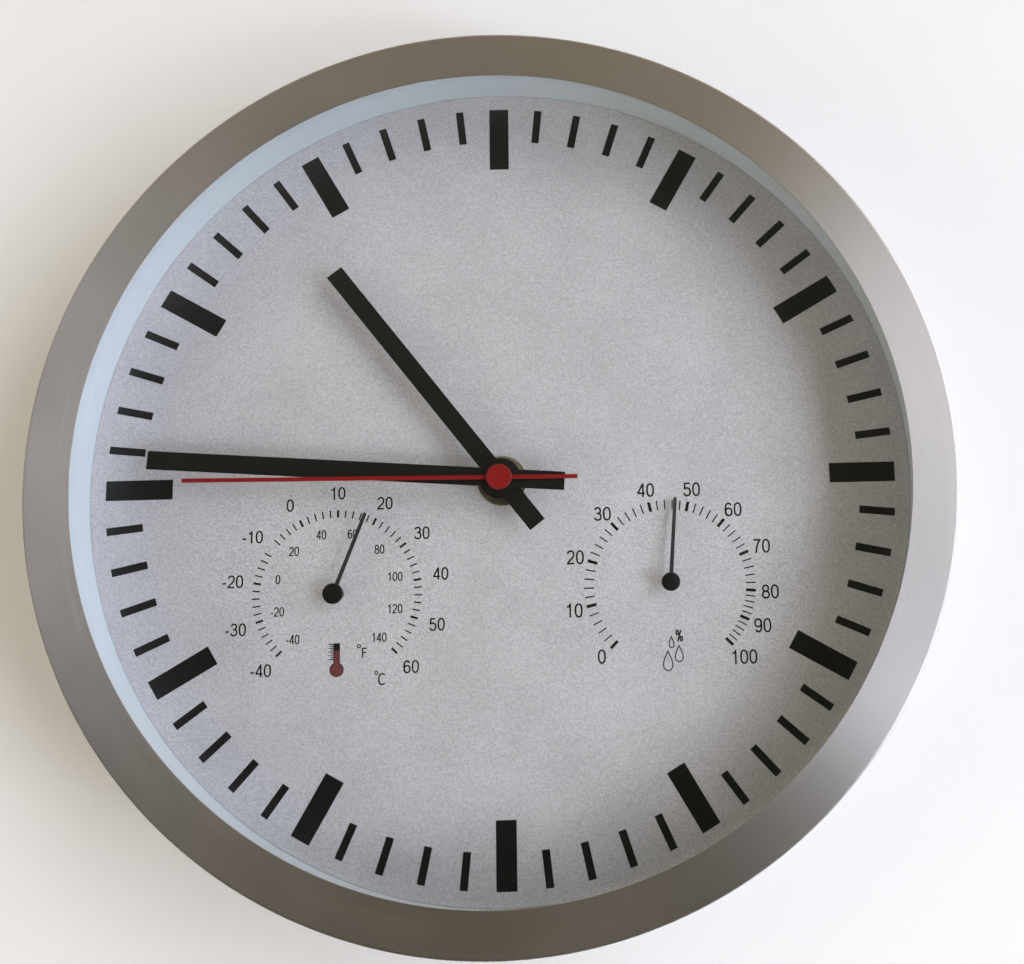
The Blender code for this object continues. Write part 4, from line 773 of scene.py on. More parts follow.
# Small signs below the scales, from the dial's centre
UNIT_SIGNS = (("F", (mm(-55.1), mm(-66.9)), mm(3.9), (mm(-57.3), mm(-64.3))),
              ("C", (mm(-48.2), mm(-77.3)), mm(4.6), (mm(-50.4), mm(-74.8))))
DEGREE_RING_RADIUS = mm(0.60)
SIGN_LINE = mm(0.38)
DROP_LINE = mm(0.48)
DROP_TAPER = 1.4
DROP_FULLNESS = 0.82
TUBE_TOP = (mm(-66.0), mm(-62.9))
TUBE_WIDTH = mm(2.5)
TUBE_DARK_PART = mm(2.9)
BULB = (mm(-66.0), mm(-73.2))
BULB_RADIUS = mm(2.8)
ICON_EDGE = mm(0.38)
ICON_TICKS = 9
ICON_TICK_PITCH = mm(0.74)
ICON_TICK_WIDTH = mm(0.38)
ICON_TICK_LENGTHS = (mm(1.9), mm(1.0))
DROPS = (((mm(64.5), mm(-73.3)), mm(7.6), mm(4.3)), ((mm(69.0), mm(-70.6)), mm(6.3), mm(3.6)),
         ((mm(66.1), mm(-66.1)), mm(4.3), mm(2.2)))
PERCENT_SIGN = (mm(69.3), mm(-63.6))
PERCENT_SIGN_HEIGHT = mm(4.6)


def celsius_degrees(value):
    """Direction of a temperature on the scale, in degrees from twelve o'clock."""
    return (value - CELSIUS_TURN[0]) * CELSIUS_TURN[1]


def fahrenheit_degrees(value):
    """Direction of a Fahrenheit numeral, in degrees from twelve o'clock."""
    return (value - FAHRENHEIT_TURN[0]) * FAHRENHEIT_TURN[1]


def percent_degrees(value):
    """Direction of a humidity on the uneven scale, in degrees from twelve o'clock."""
    ten, rest = divmod(value, 10)
    if ten + 1 == len(PERCENT_DEGREES):
        return PERCENT_DEGREES[ten]
    return PERCENT_DEGREES[ten] + (PERCENT_DEGREES[ten + 1] - PERCENT_DEGREES[ten]) * rest / 10


def drop_outline(centre, height, width, steps=28):
    """A drop of water: a round foot drawn out to a point at the top."""
    points = []
    for i in range(steps):
        turn = math.tau * i / steps
        across = math.sin(turn) * math.sin(turn / 2) ** DROP_TAPER
        points.append((centre[0] + across * width / 2 / DROP_FULLNESS,
                       centre[1] + math.cos(turn) * height / 2))
    return points


def bulb_outline(half, radius, top, steps=36):
    """A thermometer's tube and bulb in one outline."""
    lean = math.asin(half / radius)
    start = math.pi / 2 - lean
    bulb = arc(radius, start + 2 * lean, start + math.tau, steps, BULB)
    return [(BULB[0] - half, top)] + bulb + [(BULB[0] + half, top)]


def print_ticks(name, values, scale, reach, direction, widths, low, high):
    """The ticks of a scale, every full ten a bold one."""
    build = bmesh.new()
    for value in values:
        width = widths[0] if value % 10 else widths[1]
        ray(build, scale, *reach, direction(value), width, low, high)
    printed(name, build, "ink")


def print_numerals(build, values, centre, halves, direction, lifts, height, low, high):
    """The numerals round a scale, some of them lifted a little."""
    for value in values:
        x, y = on_oval(centre, halves, direction(value))
        write(build, str(value), (x, y + lifts.get(value, 0)), height, low, high)


def print_marks(sizes):
    """Sixty marks round the dial, every fifth one a wide hour mark."""
    build = bmesh.new()
    for minute in range(60):
        hour = minute % 5 == 0
        start = sizes.hour_mark_start if hour else sizes.minute_mark_start
        width = sizes.hour_mark_width if hour else sizes.minute_mark_width
        ray(build, (0, 0), start, sizes.mark_reach, minute * 6, width, DIAL_FACE, DIAL_FACE + sizes.ink)
    printed("dial_marks", build, "ink")


def print_thermometer(sizes):
    """Scale, numerals and signs of the thermometer."""
    low, high = DIAL_FACE, DIAL_FACE + sizes.ink
    ticks = [value for value in range(-40, 61, 2) if value != BARE_TICK]
    print_ticks("thermometer_ticks", ticks, THERMOMETER_SCALE, THERMOMETER_TICKS, celsius_degrees,
                THERMOMETER_WIDTHS, low, high)
    build = bmesh.new()
    print_numerals(build, range(-40, 61, 10), CELSIUS_CENTRE, CELSIUS_OVAL, celsius_degrees, CELSIUS_LIFTS,
                   CELSIUS_HEIGHT, low, high)
    for value in range(-40, 141, 20):
        spot = on_oval(FAHRENHEIT_CENTRE, FAHRENHEIT_OVAL, fahrenheit_degrees(value))
        write(build, str(value), spot, FAHRENHEIT_HEIGHT, low, high, FAHRENHEIT_NARROWING)
    for sign, spot, height, ring in UNIT_SIGNS:
        write(build, sign, spot, height, low, high)
        line(build, circle(DEGREE_RING_RADIUS, ring, 24), SIGN_LINE, low, high, True)
    printed("thermometer_numerals", build, "ink")
    build = bmesh.new()
    half = TUBE_WIDTH / 2
    x, top = TUBE_TOP
    slab(build, bulb_outline(half, BULB_RADIUS, top), low, high)
    start = x - half
    for i in range(ICON_TICKS):
        height = top - ICON_EDGE - i * ICON_TICK_PITCH
        end = start - ICON_TICK_LENGTHS[i % 2]
        line(build, [(start, height), (end, height)], ICON_TICK_WIDTH, low, high)
    printed("thermometer_sign", build, "ink")
    build = bmesh.new()
    fill = bulb_outline(half - ICON_EDGE, BULB_RADIUS - ICON_EDGE, top - TUBE_DARK_PART)
    slab(build, fill, high, high + sizes.ink / 2)
    printed("thermometer_sign_fill", build, "red_ink")


def print_hygrometer(sizes):
    """Scale, numerals and signs of the hygrometer."""
    low, high = DIAL_FACE, DIAL_FACE + sizes.ink
    print_ticks("hygrometer_ticks", range(0, 101, 2), HYGROMETER_SCALE, HYGROMETER_TICKS, percent_degrees,
                HYGROMETER_WIDTHS, low, high)
    build = bmesh.new()
    print_numerals(build, range(0, 101, 10), PERCENT_CENTRE, PERCENT_OVAL, percent_degrees, PERCENT_LIFTS,
                   PERCENT_HEIGHT, low, high)
    write(build, "%", PERCENT_SIGN, PERCENT_SIGN_HEIGHT, low, high)
    printed("hygrometer_numerals", build, "ink")
    build = bmesh.new()
    for centre, height, width in DROPS:
        line(build, drop_outline(centre, height, width), DROP_LINE, low, high, True)
    printed("hygrometer_sign", build, "blue_ink")


# Case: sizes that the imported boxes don't tell
CASE_WALL = mm(1.5)
BAND_THICKNESS = mm(2.4)
HEM_ROUNDING = mm(0.5)
LIP_EDGE = mm(0.2)
LIP_UNDERCUT = mm(2.2)
RING_WALL = mm(2.5)
RING_DRAFT = mm(0.8)
RING_GAP = mm(0.14)
RING_ROUNDING = mm(0.5)
BOSS_WIDTH = mm(9)
BOSS_HEIGHT = mm(6)
SEAL_SETBACK = mm(3)
SEAL_ROUNDING = mm(0.3)
DIAL_SEAT_GAP = mm(0.2)
DIAL_ROUNDING = mm(0.1)
# Directions of the rim's screws and their bosses
BOSS_ANGLES = [math.tau * (i + 0.5) / 4 for i in range(4)]


def make_rim(sizes):
    """Spun rim: side wall, rounded edge, flat band and the lip over the glass."""
    underside = CASE_DEPTH - BAND_THICKNESS
    inside = CASE_RADIUS - CASE_WALL
    profile = soften([
        (CASE_RADIUS, 0, HEM_ROUNDING), (CASE_RADIUS, CASE_DEPTH, sizes.band_rounding),
        (LIP_RADIUS, CASE_DEPTH, sizes.lip_rounding), (LIP_RADIUS, CASE_DEPTH - LIP_EDGE, 0),
        (LIP_RADIUS + LIP_UNDERCUT, underside, 0), (inside, underside, 0), (inside, 0, HEM_ROUNDING)],
        steps=8)
    even_shading(place_turned("brushed_rim", profile, "rim_metal", "clock_body", stands_for=["case_rim"]))


def boss_blocks(inside, outside, level):
    """Blocks round the inner ring that take the rim's screws."""
    blocks = []
    for angle in BOSS_ANGLES:
        boss = block("boss", (inside, -BOSS_WIDTH / 2, level - BOSS_HEIGHT / 2),
                     (outside, BOSS_WIDTH / 2, level + BOSS_HEIGHT / 2))
        boss.transform(Matrix.Rotation(angle, 4, "Z"))
        blocks.append(boss)
    return blocks


def make_ring():
    """White ring with a shelf for the dial, a drafted wall up to the glass and bosses for the screws."""
    foot, top = heights("inner_ring")
    shelf_inside, flange = radii("inner_ring")
    inside = DIAL_RADIUS + RING_GAP
    outside = inside + RING_DRAFT + RING_WALL
    wall_outside = shelf_inside + RING_WALL
    shelf_top = DIAL_BACK - DIAL_SEAT_GAP
    corner = RING_ROUNDING
    profile = soften([
        (outside, top, corner), (outside, shelf_top - RING_WALL, 0),
        (wall_outside, shelf_top - RING_WALL, corner), (wall_outside, foot + RING_WALL, corner),
        (flange, foot + RING_WALL, corner), (flange, foot, corner), (shelf_inside, foot, corner),
        (shelf_inside, shelf_top, corner), (inside, shelf_top, 0), (inside + RING_DRAFT, top, corner)],
        steps=4)
    blocks = boss_blocks(wall_outside - RING_WALL / 2, flange - RING_GAP, mid_depth("rim_screw_1"))
    mesh = shaped(turned("white_ring", profile), blocks, "UNION")
    even_shading(place("white_ring", mesh, "white_ring", "clock_body", stands_for=["inner_ring"]))


def make_seal():
    """Foam seal between the glass and the lip."""
    low, high = heights("glass_seal")
    outside = radii("glass_seal")[1]
    inside = LIP_RADIUS + SEAL_SETBACK
    corners = [(outside, high), (outside, low), (inside, low), (inside, high)]
    profile = soften([(*corner, SEAL_ROUNDING) for corner in corners], steps=3)
    place_turned("foam_seal", profile, "foam", "clock_body", stands_for=["glass_seal"])


def make_dial():
    """Silver disc with holes for the bush and the two instruments' arbors."""
    outlines = [circle(DIAL_RADIUS, sides=FINE_SIDES)]
    for centre in ((0, 0), THERMOMETER, HYGROMETER):
        outlines.append(circle(radii("dial_plate", centre)[0], centre))
    dial = place_flat("silver_dial", outlines, DIAL_FACE - DIAL_BACK, "dial", "clock_body", z=DIAL_BACK,
                      stands_for=["dial_plate"])
    round_edges(dial, DIAL_ROUNDING, 1)


# Hands: degrees from twelve o'clock, width, reach, tail, boss radius
HANDS = {
    "hour_hand": (322.3, mm(7.3), mm(108.7), mm(23.6), mm(8.1)),
    "minute_hand": (274.35, mm(7.3), mm(138.7), mm(25.6), mm(7.2)),
    "second_hand": (270.8, mm(1.6), mm(123.8), mm(30.7), mm(3.0)),
}
HAND_ROUNDING = mm(0.09)
CAP_ROUNDING = mm(0.35)
CAP_DISH = mm(0.12)


def hand_outline(width, reach, tail, boss, steps=24):
    """A straight bar with a round boss at its axis, pointing to twelve."""
    half = width / 2
    lean = math.asin(half / boss)
    quarter = math.pi / 2
    right = arc(boss, quarter - lean, -quarter + lean, steps)
    left = arc(boss, -quarter - lean, -3 * quarter + lean, steps)
    return [(-half, reach), (half, reach)] + right + [(half, -tail), (-half, -tail)] + left


def make_hand(node, finish):
    """One stamped hand with softly rounded edges."""
    degrees, *shape = HANDS[node]
    low, high = heights(node)
    outlines = [hand_outline(*shape), circle(radii(node)[0])]
    hand = place_flat(node + "_blade", outlines, high - low, finish, node + "_body", z=low,
                      spin=-math.radians(degrees), stands_for=[node])
    round_edges(hand, HAND_ROUNDING)


def make_cap():
    """Red cap pressed on the second hand's arbor."""
    low, high = heights("second_hand_cap")
    outside = radii("second_hand_cap")[1]
    crown = outside - CAP_ROUNDING * 2
    dish = high - CAP_DISH
    profile = [(0, dish), (crown - CAP_ROUNDING, dish), (crown, high - CAP_DISH / 3)]
    profile += arc(CAP_ROUNDING, math.pi / 2, 0, 6, (outside - CAP_ROUNDING, high - CAP_ROUNDING))
    profile += [(outside, low), (0, low)]
    even_shading(place_turned("red_cap", profile, "red_hand", "second_hand_body", CAP_SIDES, False,
                              stands_for=["second_hand_cap"]))


# Brass fixings
NUT_CHAMFER = mm(0.9)
THREAD_DEPTH = mm(0.32)
THREAD_PLAY = mm(0.15)
THREAD_STEPS = 8
BUSH_HEAD = mm(1.2)
WASHER_ROUNDING = mm(0.15)
NUT_ROUNDING = mm(0.08)


def make_washer():
    """Turned washer that lies on the dial."""
    low, high = heights("brass_washer")
    inside, outside = radii("brass_washer")
    corner = WASHER_ROUNDING
    profile = soften([(outside, high, corner), (outside, low, corner), (inside, low, 0),
                      (inside, high, corner)], steps=3)
    even_shading(place_turned("turned_washer", profile, "brass", "clock_body", WASHER_SIDES,
                              stands_for=["brass_washer"]))


def make_nut():
    """Hexagon nut whose corners are chamfered by turning."""
    low, high = heights("brass_nut")
    hole, corner = radii("brass_nut")
    bore = hole - THREAD_PLAY / 2
    hexagon = flat("hexagon", [circle(corner, sides=6)], high - low)
    hexagon.transform(Matrix.Translation((0, 0, low)))
    flats = corner * math.cos(math.pi / 6)
    drop = NUT_CHAMFER * math.tan(math.radians(30))
    outside = corner + NUT_CHAMFER
    envelope = turned("envelope", [
        (0, high + drop / 3), (flats - NUT_CHAMFER / 2, high + drop / 3), (outside, high - drop * 2),
        (outside, low - drop), (0, low - drop)], CAP_SIDES, False)
    drill = turned("nut_hole", [(0, high + drop), (bore, high + drop), (bore, low - drop), (0, low - drop)],
                   SMALL_SIDES, False)
    mesh = shaped(shaped(hexagon, [envelope], "INTERSECT"), [drill])
    nut = place("brass_hexagon", mesh, "brass", "clock_body", stands_for=["brass_nut"])
    round_edges(nut, NUT_ROUNDING)


def make_bush(sizes):
    """Threaded bush: its outside climbs in a helix, and its bore is plain."""
    low, high = heights("centre_bush")
    inside, head = radii("centre_bush")
    outside = radii("brass_nut")[0] - THREAD_PLAY
    head_top = low + BUSH_HEAD
    pitch = sizes.thread_pitch
    rows = round((high - head_top) / pitch * THREAD_STEPS)
    build = bmesh.new()
    columns = []
    for side in range(SMALL_SIDES):
        share = side / SMALL_SIDES
        column = [(inside, high), (inside, low), (head, low), (head, head_top)]
        for row in range(rows + 1):
            z = head_top + (high - head_top) * row / rows
            phase = ((z - head_top) / pitch - share) % 1
            column.append((outside - THREAD_DEPTH * abs(2 * phase - 1), z))
        across, up = math.cos(math.tau * share), math.sin(math.tau * share)
        columns.append([build.verts.new((radius * across, radius * up, z)) for radius, z in column])
    skin(build, columns + columns[:1])
    place("threaded_bush", mesh_from(build, "threaded_bush"), "brass", "clock_body",
          stands_for=["centre_bush"])


# Pointers of the instruments: degrees from twelve o'clock, hub radius, how far the tip is bent to the dial
POINTERS = {
    "thermometer": (21.4, mm(4.05), 0, THERMOMETER),
    "hygrometer": (4.9, mm(3.7), mm(2.8), HYGROMETER),
}
POINTER_REACH = mm(34)
POINTER_HALF_WIDTHS = (mm(0.82), mm(0.68))
POINTER_EDGE_SHARE = 0.75
POINTER_TIP = mm(0.7)
POINTER_THICKNESS = mm(0.4)
# Share of the tip's length that is left, and share of the needle's width there
NEEDLE_TIP_SHARES = ((1, 1), (0.4, 0.8), (0, 0.35))
HUB_DOME = mm(0.22)
HUB_ROUNDING = mm(0.35)
HUB_LIFT = mm(0.1)
# Where the hub's dome bends, as shares of its radius and of its height
HUB_BEND = (0.5, 0.3)


def make_pointer(name):
    """A needle with a raised middle, and the round hub that carries it."""
    degrees, hub_radius, bend, centre = POINTERS[name]
    low, top = heights(name + "_pointer")
    blade = low + POINTER_THICKNESS
    edge = low + (blade - low) * POINTER_EDGE_SHARE
    wide, narrow = POINTER_HALF_WIDTHS
    stations = [(0, wide)]
    stations += [(POINTER_REACH - POINTER_TIP * left, narrow * share) for left, share in NEEDLE_TIP_SHARES]
    build = bmesh.new()
    rings = []
    for distance, half in stations:
        section = [(-half, low), (-half, edge), (0, blade), (half, edge), (half, low)]
        drop = bend * distance / POINTER_REACH
        rings.append([build.verts.new((x, distance, z - drop)) for x, z in section])
    skin(build, rings)
    build.faces.new(rings[0])
    build.faces.new(rings[-1])
    place(name + "_needle", mesh_from(build, name + "_needle"), "needle", name + "_body", "black_hand",
          centre, spin=-math.radians(degrees), stands_for=[name + "_pointer"])
    corner = HUB_ROUNDING
    foot = low + HUB_LIFT
    profile = [(0, top), (hub_radius * HUB_BEND[0], top - HUB_DOME * HUB_BEND[1])]
    profile += arc(corner, math.pi / 2, 0, 5, (hub_radius - corner, top - HUB_DOME - corner))
    profile += [(hub_radius, foot), (0, foot)]
    place_turned(name + "_hub", profile, "black_hand", name + "_body", HUB_SIDES, False, at=centre)


# Screws
RECESS_WIDTH_SHARE = 0.34
RECESS_REACH_SHARE = 0.68
RECESS_DEPTH_SHARE = 0.55
# Radius and height of a pan head's outline, as shares of the head's own
PAN_SHARES = ((0, 1), (0.35, 0.97), (0.65, 0.85), (0.88, 0.6), (1, 0.25), (1, 0))
HEAD_GAP = mm(0.05)
HEAD_MARGIN = mm(0.1)
PANEL_SHANK = mm(1.2)
PANEL_HEAD_EDGE = mm(0.25)
PANEL_RECESS = mm(0.8)
PANEL_RECESS_SHARE = 0.9


def cross_recess(radius, height, depth):
    """Two crossed bars that cut a screw's recess from its head."""
    half = radius * RECESS_WIDTH_SHARE / 2
    reach = radius * RECESS_REACH_SHARE
    low, high = height - depth, height + depth
    return [block("bar", (-reach, -half, low), (reach, half, high)),
            block("bar", (-half, -reach, low), (half, reach, high))]


def pan_head(name, radius, height, shank, length):
    """A screw along Z with its head on zero and its shank below."""
    profile = [(radius * across, height * up) for across, up in PAN_SHARES]
    profile += [(shank, 0), (shank, -length + shank), (0, -length)]
    mesh = turned(name, profile, SCREW_SIDES, False)
    return shaped(mesh, cross_recess(radius, height, height * RECESS_DEPTH_SHARE))


def make_rim_screws():
    """Pan-head screws that hold the rim to the inner ring."""
    seat = CASE_RADIUS + HEAD_GAP
    for i, angle in enumerate(BOSS_ANGLES):
        node, name = f"rim_screw_{i + 1}", f"rim_pan_head_{i + 1}"
        low, high = heights(node)
        radius = (high - low) / 2
        inside, outside = radii(node)
        mesh = pan_head(name, radius, outside - HEAD_MARGIN - seat, radius / 2, seat - inside)
        matrix = Matrix.Rotation(angle, 4, "Z") @ Matrix.Translation((seat, 0, mid_depth(node))) @ LYING
        place(name, mesh, "steel", "clock_body", matrix=matrix, stands_for=[node])


def make_hanger_screws():
    """Pan-head screws of the keyhole plate."""
    seat = heights("hanger_plate")[1] + HEAD_GAP
    for i in range(2):
        node, name = f"hanger_screw_{i + 1}", f"hanger_pan_head_{i + 1}"
        low, high = heights(node)
        radius = half_span(node)
        mesh = pan_head(name, radius, high - seat, radius / 2, seat - low)
        place(name, mesh, "steel", "clock_body", at=middle(node), z=seat, stands_for=[node])


def make_panel_screws():
    """Countersunk screws of the back panel, their heads to the wall."""
    panel = heights("back_panel")[1]
    for i in range(PANEL_SCREWS):
        node, name = f"panel_screw_{i + 1}", f"countersunk_screw_{i + 1}"
        low, high = heights(node)
        radius = half_span(node)
        profile = [(0, high), (PANEL_SHANK, high - PANEL_SHANK), (PANEL_SHANK, panel),
                   (radius, low + PANEL_HEAD_EDGE), (radius, low), (0, low)]
        mesh = turned(name, [(r, -z) for r, z in profile], SCREW_SIDES, False)
        mesh = shaped(mesh, cross_recess(radius * PANEL_RECESS_SHARE, -low, PANEL_RECESS))
        mesh.transform(Matrix.Rotation(math.pi, 4, "X"))
        place(name, mesh, "steel", "clock_body", at=middle(node), stands_for=[node])


# Back panel and hanger
PANEL_SCREWS = 6
WINDOW_CORNER = mm(4)
WINDOW_MARGIN = mm(3)
VENT_COUNT = 5
VENT_RADIUS = mm(15)
VENT_WIDTH = mm(2.2)
VENT_PITCH = mm(5.2)
KEY_SLOT_RADIUS = mm(2.5)
KEY_HEAD_RADIUS = mm(5)
KEY_DROP = mm(11)
KEY_MARGIN = mm(2)
ROUND_END_PLAY = mm(0.01)
SINK_MARGIN = mm(0.3)
SINK_BORE = mm(1.5)
SINK_REACH = mm(1)
HANGER_CORNER = mm(3)
HANGER_ROUNDING = mm(0.12)


def box_outline(left, low, right, high, corner):
    """A rectangle with round corners."""
    corners = ((left, low), (right, low), (right, high), (left, high))
    return soften([(x, y, corner) for x, y in corners], steps=8)


def vent_outlines():
    """A round group of slots behind each instrument."""
    slots = []
    side = VENT_WIDTH / 2
    for centre in (THERMOMETER, HYGROMETER):
        for i in range(VENT_COUNT):
            shift = (i - (VENT_COUNT - 1) / 2) * VENT_PITCH
            half = math.sqrt(VENT_RADIUS ** 2 - shift ** 2)
            x, y = centre[0] + shift, centre[1]
            slots.append(box_outline(x - side, y - half, x + side, y + half, side - ROUND_END_PLAY))
    return slots


def make_panel():
    """Back panel with the movement's window, the keyhole's window, vents and countersunk holes."""
    low, high = heights("back_panel")
    reach = half_span("movement_case") + WINDOW_MARGIN
    side = KEY_HEAD_RADIUS + KEY_MARGIN
    outlines = [circle(radii("back_panel")[1], sides=FINE_SIDES),
                box_outline(-reach, -reach, reach, reach, WINDOW_CORNER),
                box_outline(-side, HANG_RISE - KEY_DROP - side, side,
                            HANG_RISE + KEY_SLOT_RADIUS + KEY_MARGIN, KEY_MARGIN)]
    outlines += vent_outlines()
    top = high + SINK_REACH
    sinks = []
    mesh = flat("grey_panel", outlines, high - low)
    for i in range(PANEL_SCREWS):
        node = f"panel_screw_{i + 1}"
        head = half_span(node) + SINK_MARGIN
        profile = [(0, top), (SINK_BORE, top), (SINK_BORE, high), (head, 0), (head, -SINK_REACH),
                   (0, -SINK_REACH)]
        sink = turned("sink", profile, SCREW_SIDES, False)
        sink.transform(Matrix.Translation((*middle(node), 0)))
        sinks.append(sink)
    mesh = shaped(mesh, sinks)
    mesh.shade_flat()
    place("grey_panel", mesh, "back_board", "clock_body", z=low, stands_for=["back_panel"])


def make_hanger():
    """Steel plate with a keyhole, screwed on inside the back panel."""
    low, high = heights("hanger_plate")
    first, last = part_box("hanger_plate")
    edge = box_outline(first.x, first.z - DIAL_RISE, last.x, last.z - DIAL_RISE, HANGER_CORNER)
    half_angle = math.asin(KEY_SLOT_RADIUS / KEY_HEAD_RADIUS)
    quarter = math.pi / 2
    keyhole = arc(KEY_SLOT_RADIUS, 0, math.pi, 24, (0, HANG_RISE))
    keyhole += arc(KEY_HEAD_RADIUS, quarter + half_angle, quarter + math.tau - half_angle, 48,
                   (0, HANG_RISE - KEY_DROP))
    hanger = place_flat("keyhole_plate", [edge, keyhole], high - low, "steel", "clock_body", z=low,
                        stands_for=["hanger_plate"])
    round_edges(hanger, HANGER_ROUNDING)


# Movement
CASE_ROUNDING = mm(0.35)
BUTTONS = {"set_button": "red_button", "signal_button": "white_button"}
BUTTON_INSET = mm(0.9)
BUTTON_ROUNDING = mm(0.4)
BUTTON_FLANGE = mm(0.6)


def softened_copy(node, name, width):
    """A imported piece's own shape with its edges rounded."""
    source = frame["nodes"][node]
    build = bmesh.new()
    build.from_mesh(source.data)
    merge_flats(build, WELD * 10)
    build.transform(CLOCK.inverted())
    slots = {row["node"]: row["material_slot"] for row in frame["record"]["subparts"]}
    obj = place(name, mesh_from(build, name), slots[node], source["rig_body"], stands_for=[node])
    round_edges(obj, width)


def make_movement():
    """Case and lid of the movement with moulded edges."""
    softened_copy("movement_case", "moulded_tub", CASE_ROUNDING)
    softened_copy("movement_lid", "moulded_lid", CASE_ROUNDING)


def make_buttons():
    """The two push buttons, rounded on top."""
    for node, finish in BUTTONS.items():
        low, high = heights(node)
        flange = radii(node, middle(node))[1]
        stem = flange - BUTTON_INSET
        step = high - BUTTON_FLANGE
        corner = BUTTON_ROUNDING
        profile = [(0, high), (flange, high), (flange, step), (stem, step)]
        profile += arc(corner, 0, -math.pi / 2, 5, (stem - corner, low + corner))
        profile += [(0, low)]
        place_turned(node + "_top", profile, finish, node + "_body", BUTTON_SIDES, False, at=middle(node),
                     stands_for=[node])


SLEEVE_ROUNDING = mm(0.7)
SLEEVE_BAND = mm(14)
# Radii where the sleeve's lip ends, measured inwards from the sleeve, and how deep the can lies in it
SLEEVE_LIP = (mm(1.4), mm(1.6))
CAN_SINK = mm(0.3)
BARE_CAN = mm(1.35)
NUB_LENGTH = mm(1.1)
NUB_RADIUS = mm(2.3)
NUB_ROUNDING = mm(0.4)
# Radius and depth of the can's end round the nub
CAN_END = ((mm(2.7), mm(0.1)), (mm(3.6), mm(0.15)))


def make_battery():
    """One AA cell: a sleeve shrunk over the can's rounded ends, the plus nub and the flat minus end."""
    low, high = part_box("battery")
    radius = (high.z - low.z) / 2
    start, end = low.x, high.x
    body_end = end - NUB_LENGTH
    band = body_end - SLEEVE_BAND
    corner = SLEEVE_ROUNDING
    lip, lip_foot = [radius - inset for inset in SLEEVE_LIP]
    profile = [(0, end)] + arc(NUB_ROUNDING, math.pi / 2, 0, 4, (NUB_RADIUS, end - NUB_ROUNDING))
    profile += [(reach, body_end - sink) for reach, sink in CAN_END]
    profile += [(lip_foot, body_end - CAN_SINK), (lip, body_end)]
    profile += arc(corner, math.pi / 2, 0, 5, (radius - corner, body_end - corner))
    profile += [(radius, band)]
    profile += arc(corner, 0, -math.pi / 2, 5, (radius - corner, start + corner))
    profile += [(lip, start), (lip_foot, start + CAN_SINK), (0, start + CAN_SINK)]
    across = (low.z + high.z) / 2 - DIAL_RISE
    lie = Matrix.Translation((0, across, mid_depth("battery"))) @ LYING
    cell = place_turned("aa_cell", profile, "battery_wrap", "clock_body", SMALL_SIDES, False, matrix=lie,
                        stands_for=["battery"])
    mesh = cell.data
    mesh.materials.append(FINISHES["steel"])
    mesh.materials.append(FINISHES["battery_band"])
    for face in mesh.polygons:
        reach = max(math.hypot(*mesh.vertices[i].co.xy) for i in face.vertices)
        if reach < radius - BARE_CAN:
            face.material_index = 1
        elif face.center.z > band:
            face.material_index = 2


# Instruments behind the dial
STRIP_TURNS = 4
STRIP_PITCH = mm(2.7)
STRIP_START = mm(1.75)
STRIP_THICKNESS = mm(0.4)
STRIP_POINTS = 60


def strip_side(inset):
    """One side of a wound strip."""
    points = []
    for i in range(STRIP_TURNS * STRIP_POINTS + 1):
        angle = math.tau * i / STRIP_POINTS
        radius = STRIP_START + STRIP_PITCH * i / STRIP_POINTS + inset
        points.append((radius * math.cos(angle), radius * math.sin(angle)))
    return points


def make_strips():
    """The wound strips of the two instruments, smoothly curved."""
    outline = strip_side(STRIP_THICKNESS) + strip_side(0)[::-1]
    for name, centre in (("thermometer", THERMOMETER), ("hygrometer", HYGROMETER)):
        low, high = heights(name + "_strip")
        place_flat(name + "_coil", [outline], high - low, "bimetal", "clock_body", at=centre, z=low,
                   stands_for=[name + "_strip"])


def dress_packed_nodes():
    """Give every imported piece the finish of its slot."""
    for row in frame["record"]["subparts"]:
        obj = frame["nodes"][row["node"]]
        finish = FINISHES[row["material_slot"]]
        if obj.material_slots:
            obj.material_slots[0].material = finish
        else:
            obj.data.materials.append(finish)


# Stage
CAMERA_PLACE = (0.046104, -0.441170, -0.174927)
CAMERA_DEGREES = (97.7314, 1.5728, -0.7031)
CAMERA_SHIFT = (-0.11849, -0.003407)
SENSOR_WIDTH = 36
NEAR_CLIP = 0.01
WALL_GAP = 0.002
FLOOR_DROP = 0.9
ROOM_HALF = 5.0
WALL_PATCH = 0.35
WALL_SHADE = 0.98
# The room's other sides: heading in degrees
OTHER_SIDES = {"left_side": 90, "far_side": 180, "right_side": -90}
WINDOW_COLOUR = (0.915, 0.98, 1.20)
LEFT_COLOUR = (1.0, 0.94, 0.82)
REAR_COLOUR = (1.0, 0.98, 0.95)
# Each lamp: the setting of its power, its way from the dial, distance, size, colour, and whether it is
# mirrored; the left fill isn't, because its image would hide the dial behind the glass from the right
LAMPS = {
    "window": ("window_power", (0.784, -0.585, 0.208), 3.3, (1.9, 3.2), WINDOW_COLOUR, True),
    "sill": ("sill_power", (0.741, -0.55, -0.384), 2.0, (0.8, 0.29), WINDOW_COLOUR, True),
    "left_fill": ("left_power", (-0.84, -0.44, -0.20), 1.5, (0.7, 1.0), LEFT_COLOUR, False),
    "rear_1": ("rear_power", (-0.7, 0.9, 0.5), 1.6, (1.0, 1.0), REAR_COLOUR, True),
    "rear_2": ("rear_power", (0.8, 0.9, 0.1), 1.6, (1.0, 1.0), REAR_COLOUR, True),
}
# The world: how far up and down it changes, its dark part ahead of the dial, and its lift to the right
HORIZON_REACH = 0.35
DARK_WAY = (0.0, -0.999, -0.05)
DARK_EDGES = (0.70, 0.88)
DARK_SHARE = 0.12
SIDE_REACH = 0.80
SIDE_SHARES = (0.9, 1.7)


